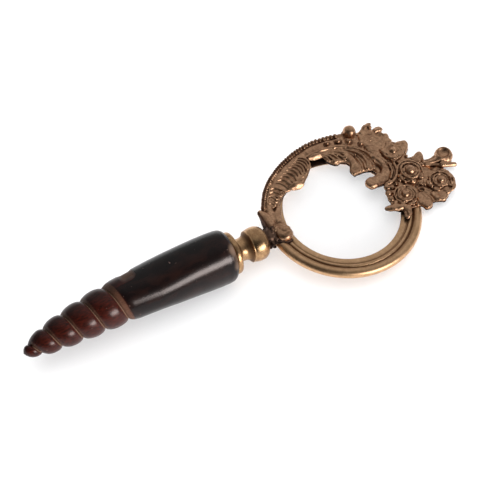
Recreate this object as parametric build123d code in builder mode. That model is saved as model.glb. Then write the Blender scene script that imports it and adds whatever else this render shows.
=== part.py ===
from build123d import *
import os
from math import cos, pi, radians, sin, sqrt

# Hand magnifying glass: a biconvex lens in a stepped brass ring, a cast scrollwork crest
# soldered round the far side of the ring, a turned brass neck and a carved horn handle.
#
# Everything is modelled in millimetres with the ring's centre at the origin, the ring's
# plane horizontal, the handle along -X and the crest towards +X and +Y. The last section
# lays the whole glass down the way it rests on a table and writes the pieces.

# ---------------------------------------------------------------- driving dimensions

# Lens and ring
LENS_RADIUS = 30.0
LENS_EDGE = 1.4
LENS_FACE_RADIUS = 260.0
SEAT_CLEARANCE = 0.1
RING_RADIUS = 38.0
BEAD_RADIUS = 2.4
APERTURE_RADIUS = 28.0
SEAT_Z = -0.25
RETAINER_GAP_ANGLE = 5.0

# Neck and ferrule disc, stations along X
HORN_END = -60.3
DISC_RADIUS = 10.15
DISC_THICKNESS = 3.0
WAIST_X = -53.6
WAIST_RADIUS = 5.4
LIP_X = -50.2
LIP_RADIUS = 7.4
KNOP_RADIUS = 8.2
KNOP_X = -45.8
NECK_END = -41.2
NECK_END_RADIUS = 4.4
COLLAR_RADIUS = 5.0
TANG_RADIUS = 3.0
TANG_IN_HORN = 24.0
TANG_IN_NECK = 9.5

# Horn: axis, envelope and carving
HORN_TIP = -162.8
BEND_START = -62.0
BEND_SIDEWAYS = -3.1
BEND_DOWN = -9.9
BEND_POWER = 2.33
HORN_ENVELOPE = (
    (HORN_TIP, 0.6),
    (-162.0, 2.0),
    (-158.5, 4.2),
    (-153.7, 6.1),
    (-148.7, 7.1),
    (-143.0, 8.0),
    (-136.7, 8.8),
    (-129.8, 9.6),
    (-122.8, 10.1),
    (-115.0, 10.4),
    (-105.0, 11.0),
    (-97.7, 11.45),
    (-90.3, 12.0),
    (-82.8, 12.45),
    (-75.2, 12.8),
    (-68.0, 12.95),
    (-63.6, 12.8),
    (-61.4, 12.1),
    (HORN_END, 10.8),
)
CARVING_START = -159.9
FIRST_HALF_PITCH = 4.2
PITCH_GROWTH = 0.09
GROOVE_ANGLE = 31.0
GROOVE_DEPTH = 1.9
GROOVE_SHARE = 0.25
CARVING_FADE_START = -106.0
CARVING_FADE_LENGTH = 8.0
SECTION_POINTS = 16
SECTION_STEP = 1.2

# Crest castings: heights above the ring's mid plane
CREST_UNDERSIDE = 1.3
BAND_TOP = 4.4
PLUME_TOP = 4.8
LEAF_TOP = 3.8
STEM_TOP = 4.6

# Rest on a table: the horn's thick end and the far edge of the ring touch it
REST_PITCH = 5.9
REST_ROLL = -1.7

# ---------------------------------------------------------------- ring, lens, retainer

bead_centre = RING_RADIUS - BEAD_RADIUS
seat_radius = LENS_RADIUS + SEAT_CLEARANCE
groove_x = bead_centre - 1.85
groove_z = sqrt(BEAD_RADIUS**2 - 1.85**2)

with BuildPart() as ring_frame:
    with BuildSketch(Plane.XZ):
        with BuildLine():
            Line((seat_radius, -BEAD_RADIUS), (bead_centre, -BEAD_RADIUS))
            ThreePointArc(
                (bead_centre, -BEAD_RADIUS), (RING_RADIUS, 0), (bead_centre, BEAD_RADIUS)
            )
            RadiusArc((bead_centre, BEAD_RADIUS), (groove_x, groove_z), -BEAD_RADIUS)
            Line((groove_x, groove_z), (33.55, 1.05))
            Line((33.55, 1.05), (33.35, 1.25))
            ThreePointArc((33.35, 1.25), (32.65, 1.75), (31.95, 1.25))
            Line((31.95, 1.25), (31.75, 0.85))
            Line((31.75, 0.85), (31.4, 0.5))
            Line((31.4, 0.5), (31.1, 0.8))
            Line((31.1, 0.8), (APERTURE_RADIUS + 0.3, 0.55))
            ThreePointArc(
                (APERTURE_RADIUS + 0.3, 0.55),
                (APERTURE_RADIUS + 0.09, 0.46),
                (APERTURE_RADIUS, 0.25),
            )
            Line((APERTURE_RADIUS, 0.25), (APERTURE_RADIUS, SEAT_Z))
            Line((APERTURE_RADIUS, SEAT_Z), (seat_radius, SEAT_Z))
            Line((seat_radius, SEAT_Z), (seat_radius, -BEAD_RADIUS))
        make_face()
    revolve(axis=Axis.Z)
ring_frame.part.label = "ring_frame"

# The convex front face meets the seat's inner corner, so the lens's edge sits a little lower
lens_bulge = LENS_FACE_RADIUS - sqrt(LENS_FACE_RADIUS**2 - LENS_RADIUS**2)
aperture_bulge = LENS_FACE_RADIUS - sqrt(LENS_FACE_RADIUS**2 - APERTURE_RADIUS**2)
lens_front_z = SEAT_Z - (lens_bulge - aperture_bulge) - 0.01
lens_back_z = lens_front_z - LENS_EDGE

with BuildPart() as lens:
    with BuildSketch(Plane.XZ):
        with BuildLine():
            RadiusArc(
                (0, lens_front_z + lens_bulge), (LENS_RADIUS, lens_front_z), LENS_FACE_RADIUS
            )
            Line((LENS_RADIUS, lens_front_z), (LENS_RADIUS, lens_back_z))
            RadiusArc(
                (LENS_RADIUS, lens_back_z), (0, lens_back_z - lens_bulge), LENS_FACE_RADIUS
            )
            Line((0, lens_back_z - lens_bulge), (0, lens_front_z + lens_bulge))
        make_face()
    revolve(axis=Axis.Z)
lens.part.label = "lens"

RETAINER_INNER = 28.6
RETAINER_SLOPE = 0.2
retainer_top = lens_back_z - 0.02

with BuildPart() as lens_retainer:
    with BuildSketch(Plane.XZ):
        with BuildLine():
            Polyline(
                (seat_radius, retainer_top),
                (seat_radius, -BEAD_RADIUS),
                (RETAINER_INNER, -BEAD_RADIUS),
                (RETAINER_INNER, retainer_top - RETAINER_SLOPE),
                close=True,
            )
        make_face()
    revolve(axis=Axis.Z, revolution_arc=360 - RETAINER_GAP_ANGLE)
lens_retainer.part.label = "lens_retainer"

# ---------------------------------------------------------------- turned neck and tang

disc_front = HORN_END + DISC_THICKNESS
neck_bore_end = HORN_END + TANG_IN_NECK

with BuildPart() as turned_neck:
    with BuildSketch(Plane.XY):
        with BuildLine():
            Line((HORN_END, TANG_RADIUS), (HORN_END, DISC_RADIUS - 0.7))
            ThreePointArc(
                (HORN_END, DISC_RADIUS - 0.7),
                (HORN_END + DISC_THICKNESS / 2, DISC_RADIUS),
                (disc_front, DISC_RADIUS - 0.9),
            )
            Spline(
                (disc_front, DISC_RADIUS - 0.9),
                (WAIST_X, WAIST_RADIUS),
                (LIP_X, LIP_RADIUS - 0.3),
                tangents=((0.35, -1.0), (0.7, 1.0)),
            )
            Line((LIP_X, LIP_RADIUS - 0.3), (LIP_X + 0.15, LIP_RADIUS))
            Spline(
                (LIP_X + 0.15, LIP_RADIUS),
                (KNOP_X, KNOP_RADIUS),
                (NECK_END, NECK_END_RADIUS),
                tangents=((1.0, 0.6), (0.45, -1.0)),
            )
            Line((NECK_END, NECK_END_RADIUS), (NECK_END, 0))
            Line((NECK_END, 0), (neck_bore_end, 0))
            Line((neck_bore_end, 0), (neck_bore_end, TANG_RADIUS))
            Line((neck_bore_end, TANG_RADIUS), (HORN_END, TANG_RADIUS))
        make_face()
    revolve(axis=Axis.X)
turned_neck.part.label = "turned_neck"

tang_start = HORN_END - TANG_IN_HORN
tang_length = TANG_IN_HORN + TANG_IN_NECK

with BuildPart() as handle_tang:
    with BuildSketch(Plane.YZ.offset(tang_start)):
        Circle(TANG_RADIUS)
    extrude(amount=tang_length)
    chamfer(handle_tang.edges().filter_by(GeomType.CIRCLE), length=0.5)
handle_tang.part.label = "handle_tang"

COLLAR_MID = -39.4
COLLAR_END = -36.4

with BuildPart() as joint_collar:
    with BuildSketch(Plane.XY):
        with BuildLine():
            Line((NECK_END, 0), (NECK_END, NECK_END_RADIUS))
            ThreePointArc(
                (NECK_END, NECK_END_RADIUS),
                (COLLAR_MID, COLLAR_RADIUS),
                (COLLAR_END, NECK_END_RADIUS - 0.8),
            )
            Line((COLLAR_END, NECK_END_RADIUS - 0.8), (COLLAR_END, 0))
            Line((COLLAR_END, 0), (NECK_END, 0))
        make_face()
    revolve(axis=Axis.X)
    add(ring_frame.part, mode=Mode.SUBTRACT)
joint_collar.part.label = "joint_collar"

# ---------------------------------------------------------------- carved horn handle


def bend(x):
    """How far along its bend the horn's axis is at a station x, from 0 to 1."""
    run = max(0.0, (BEND_START - x) / (BEND_START - HORN_TIP))
    return run**BEND_POWER


def horn_axis(x):
    """The horn's axis at a station x: straight at the neck, drooping to the tip."""
    return Vector(x, BEND_SIDEWAYS * bend(x), BEND_DOWN * bend(x))


def envelope(x):
    """The horn's radius before carving, by straight steps between stations."""
    for (x_a, r_a), (x_b, r_b) in zip(HORN_ENVELOPE, HORN_ENVELOPE[1:]):
        if x_a <= x <= x_b:
            return r_a + (r_b - r_a) * (x - x_a) / (x_b - x_a)
    return HORN_ENVELOPE[0][1]


def half_turns(x):
    """Half turns of the carved groove from the tip to a station x."""
    ahead = max(0.0, x - CARVING_START)
    root = sqrt(FIRST_HALF_PITCH**2 + 4 * PITCH_GROWTH * ahead)
    return (root - FIRST_HALF_PITCH) / (2 * PITCH_GROWTH)


def horn_radius(x, angle):
    """The carved radius: one right-handed groove that fades out into the barrel."""
    plain = envelope(x)
    phase = (half_turns(x) - (angle - GROOVE_ANGLE) / 180) / 2
    notch = (0.5 + 0.5 * cos(2 * pi * phase)) ** 2
    fade = min(1.0, max(0.0, (CARVING_FADE_START - x) / CARVING_FADE_LENGTH))
    return plain - fade * min(GROOVE_DEPTH, GROOVE_SHARE * plain) * notch


def horn_section(x):
    """The plane across the axis at a station x and the section's points on it."""
    step = 0.01
    along = horn_axis(x + step) - horn_axis(x - step)
    plane = Plane(origin=horn_axis(x), x_dir=(0, 1, 0), z_dir=along)
    points = []
    for i in range(SECTION_POINTS):
        angle = 360 * i / SECTION_POINTS
        radius = horn_radius(x, angle)
        points.append((radius * cos(radians(angle)), radius * sin(radians(angle))))
    return plane, points


carved_count = int((CARVING_FADE_START + 2 - HORN_TIP) / SECTION_STEP)
stations = [HORN_TIP + SECTION_STEP * (i + 0.5) for i in range(carved_count)]
stations += [-101.0, -97.0, -93.0, -88.0, -83.0, -78.0, -73.0, -68.0, -65.0, -63.6]
stations += [-62.6, -61.8, -61.0, HORN_END]

with BuildPart() as horn_handle:
    for station in stations:
        section_plane, section_points = horn_section(station)
        with BuildSketch(section_plane):
            with BuildLine():
                Spline(*section_points, periodic=True)
            make_face()
    loft(ruled=True)
    add(handle_tang.part, mode=Mode.SUBTRACT)
horn_handle.part.label = "horn_handle"

# ---------------------------------------------------------------- crest castings


def casting_outline(*runs):
    """Draw a closed outline whose runs are smooth curves, each ending at the next."""
    for run in runs:
        if len(run) == 2:
            Line(*run)
        else:
            Spline(*run)


# The beaded edge, the plumes and the C-shaped scroll share these border curves
BEADED_EDGE = ((-36.0, 14.2), (-30.0, 23.4), (-20.0, 31.6), (-7.5, 37.4), (5.5, 40.0), (20.6, 38.6))
CUFF_EDGE = ((-36.0, 14.2), (-32.0, 13.0), (-26.0, 13.6))
SPINE_EDGE = ((-1.0, 32.2), (8.6, 32.2), (15.5, 30.6), (22.4, 26.6), (27.3, 21.6))
SCROLL_EDGE = ((27.3, 21.6), (30.6, 15.0), (30.6, 9.4), (28.6, 5.4), (25.2, 2.6))

# The ball sits in a pocket shared by the band and the leaf plate
CREST_BALL = (24.9, 37.0, 4.6)
CREST_BALL_RADIUS = 3.6
with BuildPart() as crest_ball:
    with Locations(CREST_BALL):
        Sphere(CREST_BALL_RADIUS)
crest_ball.part.label = "crest_ball"

with BuildPart() as crest_band:
    with BuildSketch(Plane.XY.offset(CREST_UNDERSIDE)):
        with BuildLine():
            casting_outline(
                BEADED_EDGE,
                ((20.6, 38.6), CREST_BALL[:2]),
                (CREST_BALL[:2], (28.8, 33.0)),
                ((28.8, 33.0), (27.3, 21.6)),
                SPINE_EDGE[::-1],
                ((-1.0, 32.2), (-2.4, 27.4)),
                ((-2.4, 27.4), (-5.6, 23.2), (-10.2, 19.0)),
                ((-10.2, 19.0), (-13.7, 18.0), (-18.6, 18.5)),
                ((-18.6, 18.5), (-26.0, 13.6)),
                CUFF_EDGE[::-1],
            )
        make_face()
    extrude(amount=BAND_TOP - CREST_UNDERSIDE)
    for neighbour in (ring_frame, crest_ball):
        add(neighbour.part, mode=Mode.SUBTRACT)
crest_band.part.label = "crest_band"

KNOB = (20.0, 6.8)
KNOB_RADIUS = 3.4
with BuildPart() as plume_scroll:
    with BuildSketch(Plane.XY.offset(CREST_UNDERSIDE)):
        with BuildLine():
            casting_outline(
                SPINE_EDGE,
                SCROLL_EDGE,
                ((25.2, 2.6), KNOB),
                (KNOB, (24.6, 11.4)),
                ((24.6, 11.4), (22.1, 13.6)),
                ((22.1, 13.6), (17.7, 14.6), (13.6, 14.0)),
                ((13.6, 14.0), (15.1, 18.4), (12.9, 22.2)),
                ((12.9, 22.2), (7.4, 25.6), (-1.0, 28.2)),
                ((-1.0, 28.2), (-1.0, 32.2)),
            )
        make_face()
        with Locations(KNOB):
            Circle(KNOB_RADIUS)
    extrude(amount=PLUME_TOP - CREST_UNDERSIDE)
    add(ring_frame.part, mode=Mode.SUBTRACT)
    add(crest_band.part, mode=Mode.SUBTRACT)
plume_scroll.part.label = "plume_scroll"

STEM_BULB = (-31.4, -2.4, 3.4)
STEM_BULB_RADIUS = 3.7
with BuildPart() as stem_scroll:
    with BuildSketch(Plane.XY.offset(CREST_UNDERSIDE)):
        with BuildLine():
            casting_outline(
                CUFF_EDGE,
                ((-26.0, 13.6), (-29.1, 7.9), (-29.6, 2.2)),
                ((-29.6, 2.2), (-34.0, -0.6)),
                ((-34.0, -0.6), (-38.4, 3.8)),
                ((-38.4, 3.8), (-37.7, 9.0), (-36.0, 14.2)),
            )
        make_face()
        with Locations((-37.1, 12.4)):
            Circle(1.2)
    extrude(amount=STEM_TOP - CREST_UNDERSIDE)
    with Locations(STEM_BULB):
        Sphere(STEM_BULB_RADIUS)
    for neighbour in (ring_frame, joint_collar, crest_band):
        add(neighbour.part, mode=Mode.SUBTRACT)
stem_scroll.part.label = "stem_scroll"

with BuildPart() as leaf_plate:
    with BuildSketch(Plane.XY.offset(CREST_UNDERSIDE)):
        with BuildLine():
            casting_outline(
                (CREST_BALL[:2], (30.6, 35.8), (35.6, 37.8)),
                ((35.6, 37.8), (36.2, 34.2)),
                ((36.2, 34.2), (41.0, 33.0)),
                ((41.0, 33.0), (37.8, 29.0)),
                ((37.8, 29.0), (41.2, 26.2), (41.8, 22.8)),
                ((41.8, 22.8), (48.0, 20.8)),
                ((48.0, 20.8), (44.6, 15.6), (44.4, 12.2)),
                ((44.4, 12.2), (50.6, 12.0)),
                ((50.6, 12.0), (49.8, 7.4)),
                ((49.8, 7.4), (56.0, 2.0), (57.2, -5.4), (54.2, -12.2), (49.4, -15.2)),
                ((49.4, -15.2), (46.4, -17.2)),
                ((46.4, -17.2), (40.2, -15.8), (36.8, -17.2)),
                ((36.8, -17.2), (34.0, -15.4), (29.8, -14.4)),
                ((29.8, -14.4), (28.8, -18.0), (26.2, -19.6)),
                ((26.2, -19.6), (23.8, -18.8), (24.8, -15.4)),
                ((24.8, -15.4), (21.6, -13.0), (18.0, -9.4)),
                ((18.0, -9.4), (21.8, -7.6)),
                ((21.8, -7.6), (22.8, -2.6), (25.2, 2.6)),
                SCROLL_EDGE[::-1],
                ((27.3, 21.6), (28.8, 33.0)),
                ((28.8, 33.0), CREST_BALL[:2]),
            )
        make_face()
    extrude(amount=LEAF_TOP - CREST_UNDERSIDE)
    for neighbour in (ring_frame, crest_ball, crest_band, plume_scroll):
        add(neighbour.part, mode=Mode.SUBTRACT)
leaf_plate.part.label = "leaf_plate"

# ---------------------------------------------------------------- rosettes and trumpet


def rosette_profile(rim_radius, height):
    """Half section of a rosette about the Y axis: a flared cup with a domed boss."""
    boss = 0.48 * rim_radius
    Line((0, 0), (0.62 * rim_radius, 0))
    Spline((0.62 * rim_radius, 0), (0.8 * rim_radius, 0.3 * height), (rim_radius, 0.5 * height))
    Line((rim_radius, 0.5 * height), (0.93 * rim_radius, 0.62 * height))
    Spline(
        (0.93 * rim_radius, 0.62 * height), (0.7 * rim_radius, 0.42 * height), (boss, 0.4 * height)
    )
    dome_radius = (boss**2 + (0.6 * height) ** 2) / (1.2 * height)
    RadiusArc((boss, 0.4 * height), (0, height), -dome_radius)
    Line((0, height), (0, 0))


# Name, centre on the leaf plate, rim radius and height of each rosette
ROSETTES = (
    ("rose_upper", (38.6, 18.8), 5.2, 3.4),
    ("rose_middle", (40.4, 4.6), 5.6, 4.2),
    ("rose_lower", (30.6, -6.6), 5.6, 4.2),
    ("rose_outer", (50.2, -6.4), 6.6, 4.2),
)
rosettes = []
for rosette_name, rosette_centre, rim, rise in ROSETTES:
    rosette_plane = Plane(origin=(*rosette_centre, LEAF_TOP), x_dir=(1, 0, 0), z_dir=(0, -1, 0))
    with BuildPart() as rosette:
        with BuildSketch(rosette_plane):
            with BuildLine():
                rosette_profile(rim, rise)
            make_face()
        revolve(axis=Axis((*rosette_centre, 0), (0, 0, 1)))
    rosette.part.label = rosette_name
    rosettes.append(rosette)

TRUMPET_BASE = (51.2, 5.6, 3.9)
TRUMPET_BULB = (59.6, 5.6, 4.4)
TRUMPET_BULB_RADIUS = 4.1
SPIKE_TIP = (62.4, -1.2, 3.6)
trumpet_direction = Vector(*TRUMPET_BULB) - Vector(*TRUMPET_BASE)
spike_direction = Vector(*SPIKE_TIP) - Vector(*TRUMPET_BULB)

with BuildPart() as trumpet_scroll:
    with BuildSketch(Plane(origin=TRUMPET_BASE, z_dir=trumpet_direction)):
        Circle(1.5)
    with BuildSketch(Plane(origin=TRUMPET_BULB, z_dir=trumpet_direction)):
        Circle(3.3)
    loft()
    with Locations(TRUMPET_BULB):
        Sphere(TRUMPET_BULB_RADIUS)
    with BuildSketch(Plane(origin=TRUMPET_BULB, z_dir=spike_direction)):
        Circle(2.6)
    with BuildSketch(Plane(origin=SPIKE_TIP, z_dir=spike_direction)):
        Circle(1.0)
    loft()
    add(leaf_plate.part, mode=Mode.SUBTRACT)
    for rosette in rosettes:
        add(rosette.part, mode=Mode.SUBTRACT)
trumpet_scroll.part.label = "trumpet_scroll"

# ---------------------------------------------------------------- laid down and written

pieces = [
    horn_handle,
    handle_tang,
    turned_neck,
    joint_collar,
    ring_frame,
    lens,
    lens_retainer,
    stem_scroll,
    crest_band,
    plume_scroll,
    leaf_plate,
    crest_ball,
    *rosettes,
    trumpet_scroll,
]
tilt = Rot(0, REST_PITCH, 0) * Rot(REST_ROLL, 0, 0)
tilted_box = Compound([piece.part.moved(tilt) for piece in pieces]).bounding_box()
middle = tilted_box.center()
lying = Pos(-middle.X, -middle.Y, -tilted_box.min.Z) * tilt

os.makedirs("parts", exist_ok=True)
for piece in pieces:
    name = piece.part.label
    laid = piece.part.moved(lying)
    laid.label = name
    export_step(laid, f"parts/{name}.step")
print("ring centre in the lying frame:", lying.position)
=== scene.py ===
import math

import bpy
import numpy as np
import openvdb
from mathutils import Matrix, Vector


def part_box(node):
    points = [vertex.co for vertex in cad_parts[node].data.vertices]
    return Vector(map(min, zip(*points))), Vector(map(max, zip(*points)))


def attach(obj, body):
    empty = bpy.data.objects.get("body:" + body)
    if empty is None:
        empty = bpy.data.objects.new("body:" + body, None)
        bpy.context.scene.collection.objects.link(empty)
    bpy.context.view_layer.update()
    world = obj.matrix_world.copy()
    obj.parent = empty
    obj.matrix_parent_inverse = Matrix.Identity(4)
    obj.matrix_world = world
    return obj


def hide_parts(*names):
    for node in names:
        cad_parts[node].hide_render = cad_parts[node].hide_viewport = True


# A hand magnifying glass lying on a white table. Everything is drawn in millimetres in the
# tool's own frame, which has its origin at the ring's centre, the handle along -X, the
# crest towards +X and +Y, and its face up +Z. LYING then carries it to where the CAD lies.

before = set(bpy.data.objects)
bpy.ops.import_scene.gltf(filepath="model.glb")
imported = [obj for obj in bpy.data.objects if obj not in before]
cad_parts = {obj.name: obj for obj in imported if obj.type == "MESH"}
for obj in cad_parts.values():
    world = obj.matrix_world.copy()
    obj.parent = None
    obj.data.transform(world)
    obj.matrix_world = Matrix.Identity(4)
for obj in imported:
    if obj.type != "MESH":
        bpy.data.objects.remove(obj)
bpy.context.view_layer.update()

# ---- frame and driving sizes

MM = 0.001
REST_PITCH = math.radians(5.9)
REST_ROLL = math.radians(-1.7)

ring_low, ring_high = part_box("ring_frame")
ring_centre = (ring_low + ring_high) / 2
LYING = (
    Matrix.Translation(ring_centre)
    @ Matrix.Rotation(REST_PITCH, 4, "Y")
    @ Matrix.Rotation(REST_ROLL, 4, "X")
    @ Matrix.Scale(MM, 4)
)

VOXEL = 0.24
FAR = 3.0
CREST_UNDERSIDE = 1.3

# Steep sides of the castings below this height are painted dark: painted shade near the table, with patina
DARK_SIDE_TOP = 3.2

# A raised lip or bead turned and tilted this way shines at the camera
LIT_TURN = -86
LIT_TILT = -46

# Strength of the tent's bright side, and the lamps' powers in watts
TENT_BACK = 0.60
HORN_LAMP_POWER = 14.0
BRASS_LAMP_POWER = 5.6
FLOOR_POWER = 9.5
FLOOR_BASE_POWER = 17.2

# ---- meshes


def lay_down(points):
    """Points of the tool frame, in millimetres, as points of the row frame, in metres."""
    turn = np.array(LYING)
    return np.asarray(points, float) @ turn[:3, :3].T + turn[:3, 3]


def add_piece(name, points, faces, material, nodes, values=None):
    """A smooth-shaded mesh piece that rides on the body and stands for its CAD nodes."""
    points = np.asarray(points, float)
    first, second, third = points[np.array([face[:3] for face in faces])].transpose(1, 0, 2)
    outward = np.einsum("ij,ij->i", first - points.mean(0), np.cross(second - first, third - first))
    if outward.sum() < 0:
        faces = [face[::-1] for face in faces]
    mesh = bpy.data.meshes.new(name)
    mesh.from_pydata(lay_down(points).tolist(), [], faces)
    mesh.validate()
    mesh.update()
    mesh.shade_smooth()
    for key, numbers in (values or {}).items():
        attribute = mesh.attributes.new(key, "FLOAT", "POINT")
        attribute.data.foreach_set("value", np.asarray(numbers, np.float32))
    mesh.materials.append(material)
    piece = bpy.data.objects.new(name, mesh)
    bpy.context.scene.collection.objects.link(piece)
    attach(piece, "root")
    if nodes:
        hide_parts(*nodes)
    return piece


def grid_faces(rows, columns, closed_rows=False):
    """Quads of a grid whose columns close into a ring, and its rows too where asked."""
    faces = []
    for i in range(rows if closed_rows else rows - 1):
        k = (i + 1) % rows
        for j in range(columns):
            m = (j + 1) % columns
            faces.append((i * columns + j, k * columns + j, k * columns + m, i * columns + m))
    return faces


def smooth_line(points, step=0.5):
    """A smooth curve through the points, drawn every step or so. Extra columns ride along."""
    points = np.array(points, float)
    if len(points) == 2:
        points = np.array([points[0], points.mean(0), points[1]])
    ends = np.vstack([2 * points[0] - points[1], points, 2 * points[-1] - points[-2]])
    parts = []
    for a, b, c, d in zip(ends, ends[1:], ends[2:], ends[3:]):
        count = max(2, int(np.linalg.norm((c - b)[:3]) / step) + 1)
        t = np.linspace(0, 1, count, endpoint=False)[:, None]
        bend = (2 * a - 5 * b + 4 * c - d) * t**2 + (3 * b - a - 3 * c + d) * t**3
        parts.append(0.5 * (2 * b + (c - a) * t + bend))
    return np.vstack([*parts, points[-1:]])


def strand(plan, height, radius):
    """Rows of x, y, z and radius. Height and radius are one number, or one for each point."""
    count = len(plan)
    heights = np.broadcast_to(height, count)
    radii = np.broadcast_to(radius, count)
    return [(*p, z, r) for p, z, r in zip(plan, heights, radii)]


def border(*sides):
    """A closed plan outline: each side starts where the one before it ends.

    A point on its own ends a straight side. More points make a smooth curve to the last.
    """
    lines = []
    end = sides[0][0]
    for side in sides:
        run = [side] if np.ndim(side) == 1 else list(side)
        if tuple(run[0]) != tuple(end):
            run.insert(0, end)
        lines.append(smooth_line(run, 0.8)[:-1] if len(run) > 2 else np.array(run[:1]))
        end = run[-1]
    return np.vstack(lines)


def circle(centre, radius, count=40):
    """A round plan outline."""
    turns = [2 * math.pi * i / count for i in range(count)]
    return np.array(
        [(centre[0] + radius * math.cos(a), centre[1] + radius * math.sin(a)) for a in turns]
    )


# ---- clay: sculpted castings


def blended(a, b, soft):
    """The smaller of two distances, with a rounded join where they are nearly the same."""
    if soft <= 0:
        return np.minimum(a, b)
    near = np.maximum(soft - np.abs(a - b), 0) / soft
    return np.minimum(a, b) - near * near * soft / 4


def plan_distance(x, y, outline):
    """Distance in plan to a closed outline, negative inside it."""
    nearest = np.full(np.broadcast(x, y).shape, 1e9)
    inside = np.zeros(nearest.shape, bool)
    for (ax, ay), (bx, by) in zip(outline, np.roll(outline, -1, axis=0)):
        ux, uy = bx - ax, by - ay
        px, py = x - ax, y - ay
        t = np.clip((px * ux + py * uy) / (ux * ux + uy * uy + 1e-12), 0, 1)
        nearest = np.minimum(nearest, (px - t * ux) ** 2 + (py - t * uy) ** 2)
        if ay != by:
            inside ^= ((ay > y) != (by > y)) & (px < ux * (y - ay) / uy)
    return np.where(inside, -1, 1) * np.sqrt(nearest)


class Clay:
    """A block of distances to a surface, sculpted by adding and cutting soft forms."""

    def __init__(self, low, high, voxel=VOXEL):
        self.voxel = voxel
        self.low = np.array(low, float)
        counts = np.ceil((np.array(high) - self.low) / voxel).astype(int) + 1
        self.axes = [a + voxel * np.arange(n) for a, n in zip(self.low, counts)]
        self.field = np.full(counts, FAR, np.float32)

    def window(self, low, high, reach):
        """The part of the block round a box: its slices and its coordinates."""
        slices = []
        for axis, a, b in zip(self.axes, low, high):
            first = int(np.searchsorted(axis, a - reach))
            last = int(np.searchsorted(axis, b + reach))
            slices.append(slice(first, max(last, first + 1)))
        lines = [axis[s] for axis, s in zip(self.axes, slices)]
        return tuple(slices), np.meshgrid(*lines, indexing="ij", sparse=True)

    def blend(self, slices, distance, soft, cut):
        """Add a form to the block, or cut it out."""
        if self.field[slices].size == 0:
            return
        if cut:
            self.field[slices] = -blended(-self.field[slices], distance, soft)
        else:
            self.field[slices] = blended(self.field[slices], distance, soft)

    def tube(self, rows, soft=0.3, flat=1.0, cut=False):
        """A round bar along a smooth curve of x, y, z and radius, flattened in height."""
        line = smooth_line(rows)
        reach = line[:, 3].max() + soft + 2 * self.voxel
        slices, _ = self.window(line[:, :3].min(0), line[:, :3].max(0), reach)
        if self.field[slices].size == 0:
            return
        distance = np.full(self.field[slices].shape, FAR, np.float32)
        for a, b in zip(line, line[1:]):
            small, (x, y, z) = self.window(
                np.minimum(a, b)[:3], np.maximum(a, b)[:3], max(a[3], b[3]) + soft + 2 * self.voxel
            )
            inner = tuple(slice(s.start - o.start, s.stop - o.start) for s, o in zip(small, slices))
            u = (b - a)[:3] / (1, 1, flat)
            px, py, pz = x - a[0], y - a[1], (z - a[2]) / flat
            t = np.clip((px * u[0] + py * u[1] + pz * u[2]) / (u @ u + 1e-9), 0, 1)
            gap = np.sqrt((px - t * u[0]) ** 2 + (py - t * u[1]) ** 2 + (pz - t * u[2]) ** 2)
            gap = (gap - (a[3] + t * (b[3] - a[3]))) * min(1.0, flat + 0.2)
            distance[inner] = np.minimum(distance[inner], gap)
        self.blend(slices, distance, soft, cut)

    def ball(self, centre, radii, turn=0.0, tilt=0.0, soft=0.3, cut=False):
        """A ball, or an ellipsoid turned about Z and then tilted up along its length."""
        radii = np.broadcast_to(radii, 3).astype(float)
        slices, (x, y, z) = self.window(centre, centre, radii.max() + soft + 2 * self.voxel)
        if self.field[slices].size == 0:
            return
        px, py, pz = x - centre[0], y - centre[1], z - centre[2]
        c, s = math.cos(math.radians(turn)), math.sin(math.radians(turn))
        px, py = px * c + py * s, py * c - px * s
        c, s = math.cos(math.radians(tilt)), math.sin(math.radians(tilt))
        px, pz = px * c + pz * s, pz * c - px * s
        near = np.sqrt((px / radii[0]) ** 2 + (py / radii[1]) ** 2 + (pz / radii[2]) ** 2)
        slope = np.sqrt(
            (px / radii[0] ** 2) ** 2 + (py / radii[1] ** 2) ** 2 + (pz / radii[2] ** 2) ** 2
        )
        distance = near * (near - 1) / np.maximum(slope, 1e-6)
        distance = np.where(near < 1e-3, -radii.min(), distance)
        self.blend(slices, distance, soft, cut)

    def plate(self, outline, low, high, edge=0.4, crown=0.0, crown_width=2.0, soft=0.3, cut=False):
        """A flat form between two heights with rounded edges, or a pillow with a crown."""
        reach = soft + 2 * self.voxel
        box_low = (*outline.min(0), low)
        box_high = (*outline.max(0), high + crown)
        slices, (x, y, z) = self.window(box_low, box_high, reach)
        if self.field[slices].size == 0:
            return
        side = plan_distance(x, y, outline)
        depth = np.clip(-side / crown_width, 0, 1)
        top = high + crown * np.sqrt(1 - (1 - depth) ** 2)
        rise = np.maximum(z - top, low - z) + edge
        side = side + edge
        outer = np.sqrt(np.maximum(side, 0) ** 2 + np.maximum(rise, 0) ** 2)
        distance = np.minimum(np.maximum(side, rise), 0) + outer - edge
        self.blend(slices, distance, soft, cut)

    def roughen(self, grain, depth, seed):
        """Gentle lumps all over, as a casting has: smooth noise of a grain and a depth in mm."""
        weights = []
        for axis in self.axes:
            at = (axis - axis[0]) / grain
            cell = at.astype(int)
            share = at - cell
            share = share * share * (3 - 2 * share)
            table = np.zeros((len(axis), cell[-1] + 2), np.float32)
            table[np.arange(len(axis)), cell] = 1 - share
            table[np.arange(len(axis)), cell + 1] += share
            weights.append(table)
        lattice = np.random.default_rng(seed).uniform(-1, 1, [t.shape[1] for t in weights])
        lumps = np.einsum("ia,abc->ibc", weights[0], lattice.astype(np.float32))
        lumps = np.einsum("jb,ibc->ijc", weights[1], lumps)
        self.field += depth * np.einsum("kc,ijc->ijk", weights[2], lumps)

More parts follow.
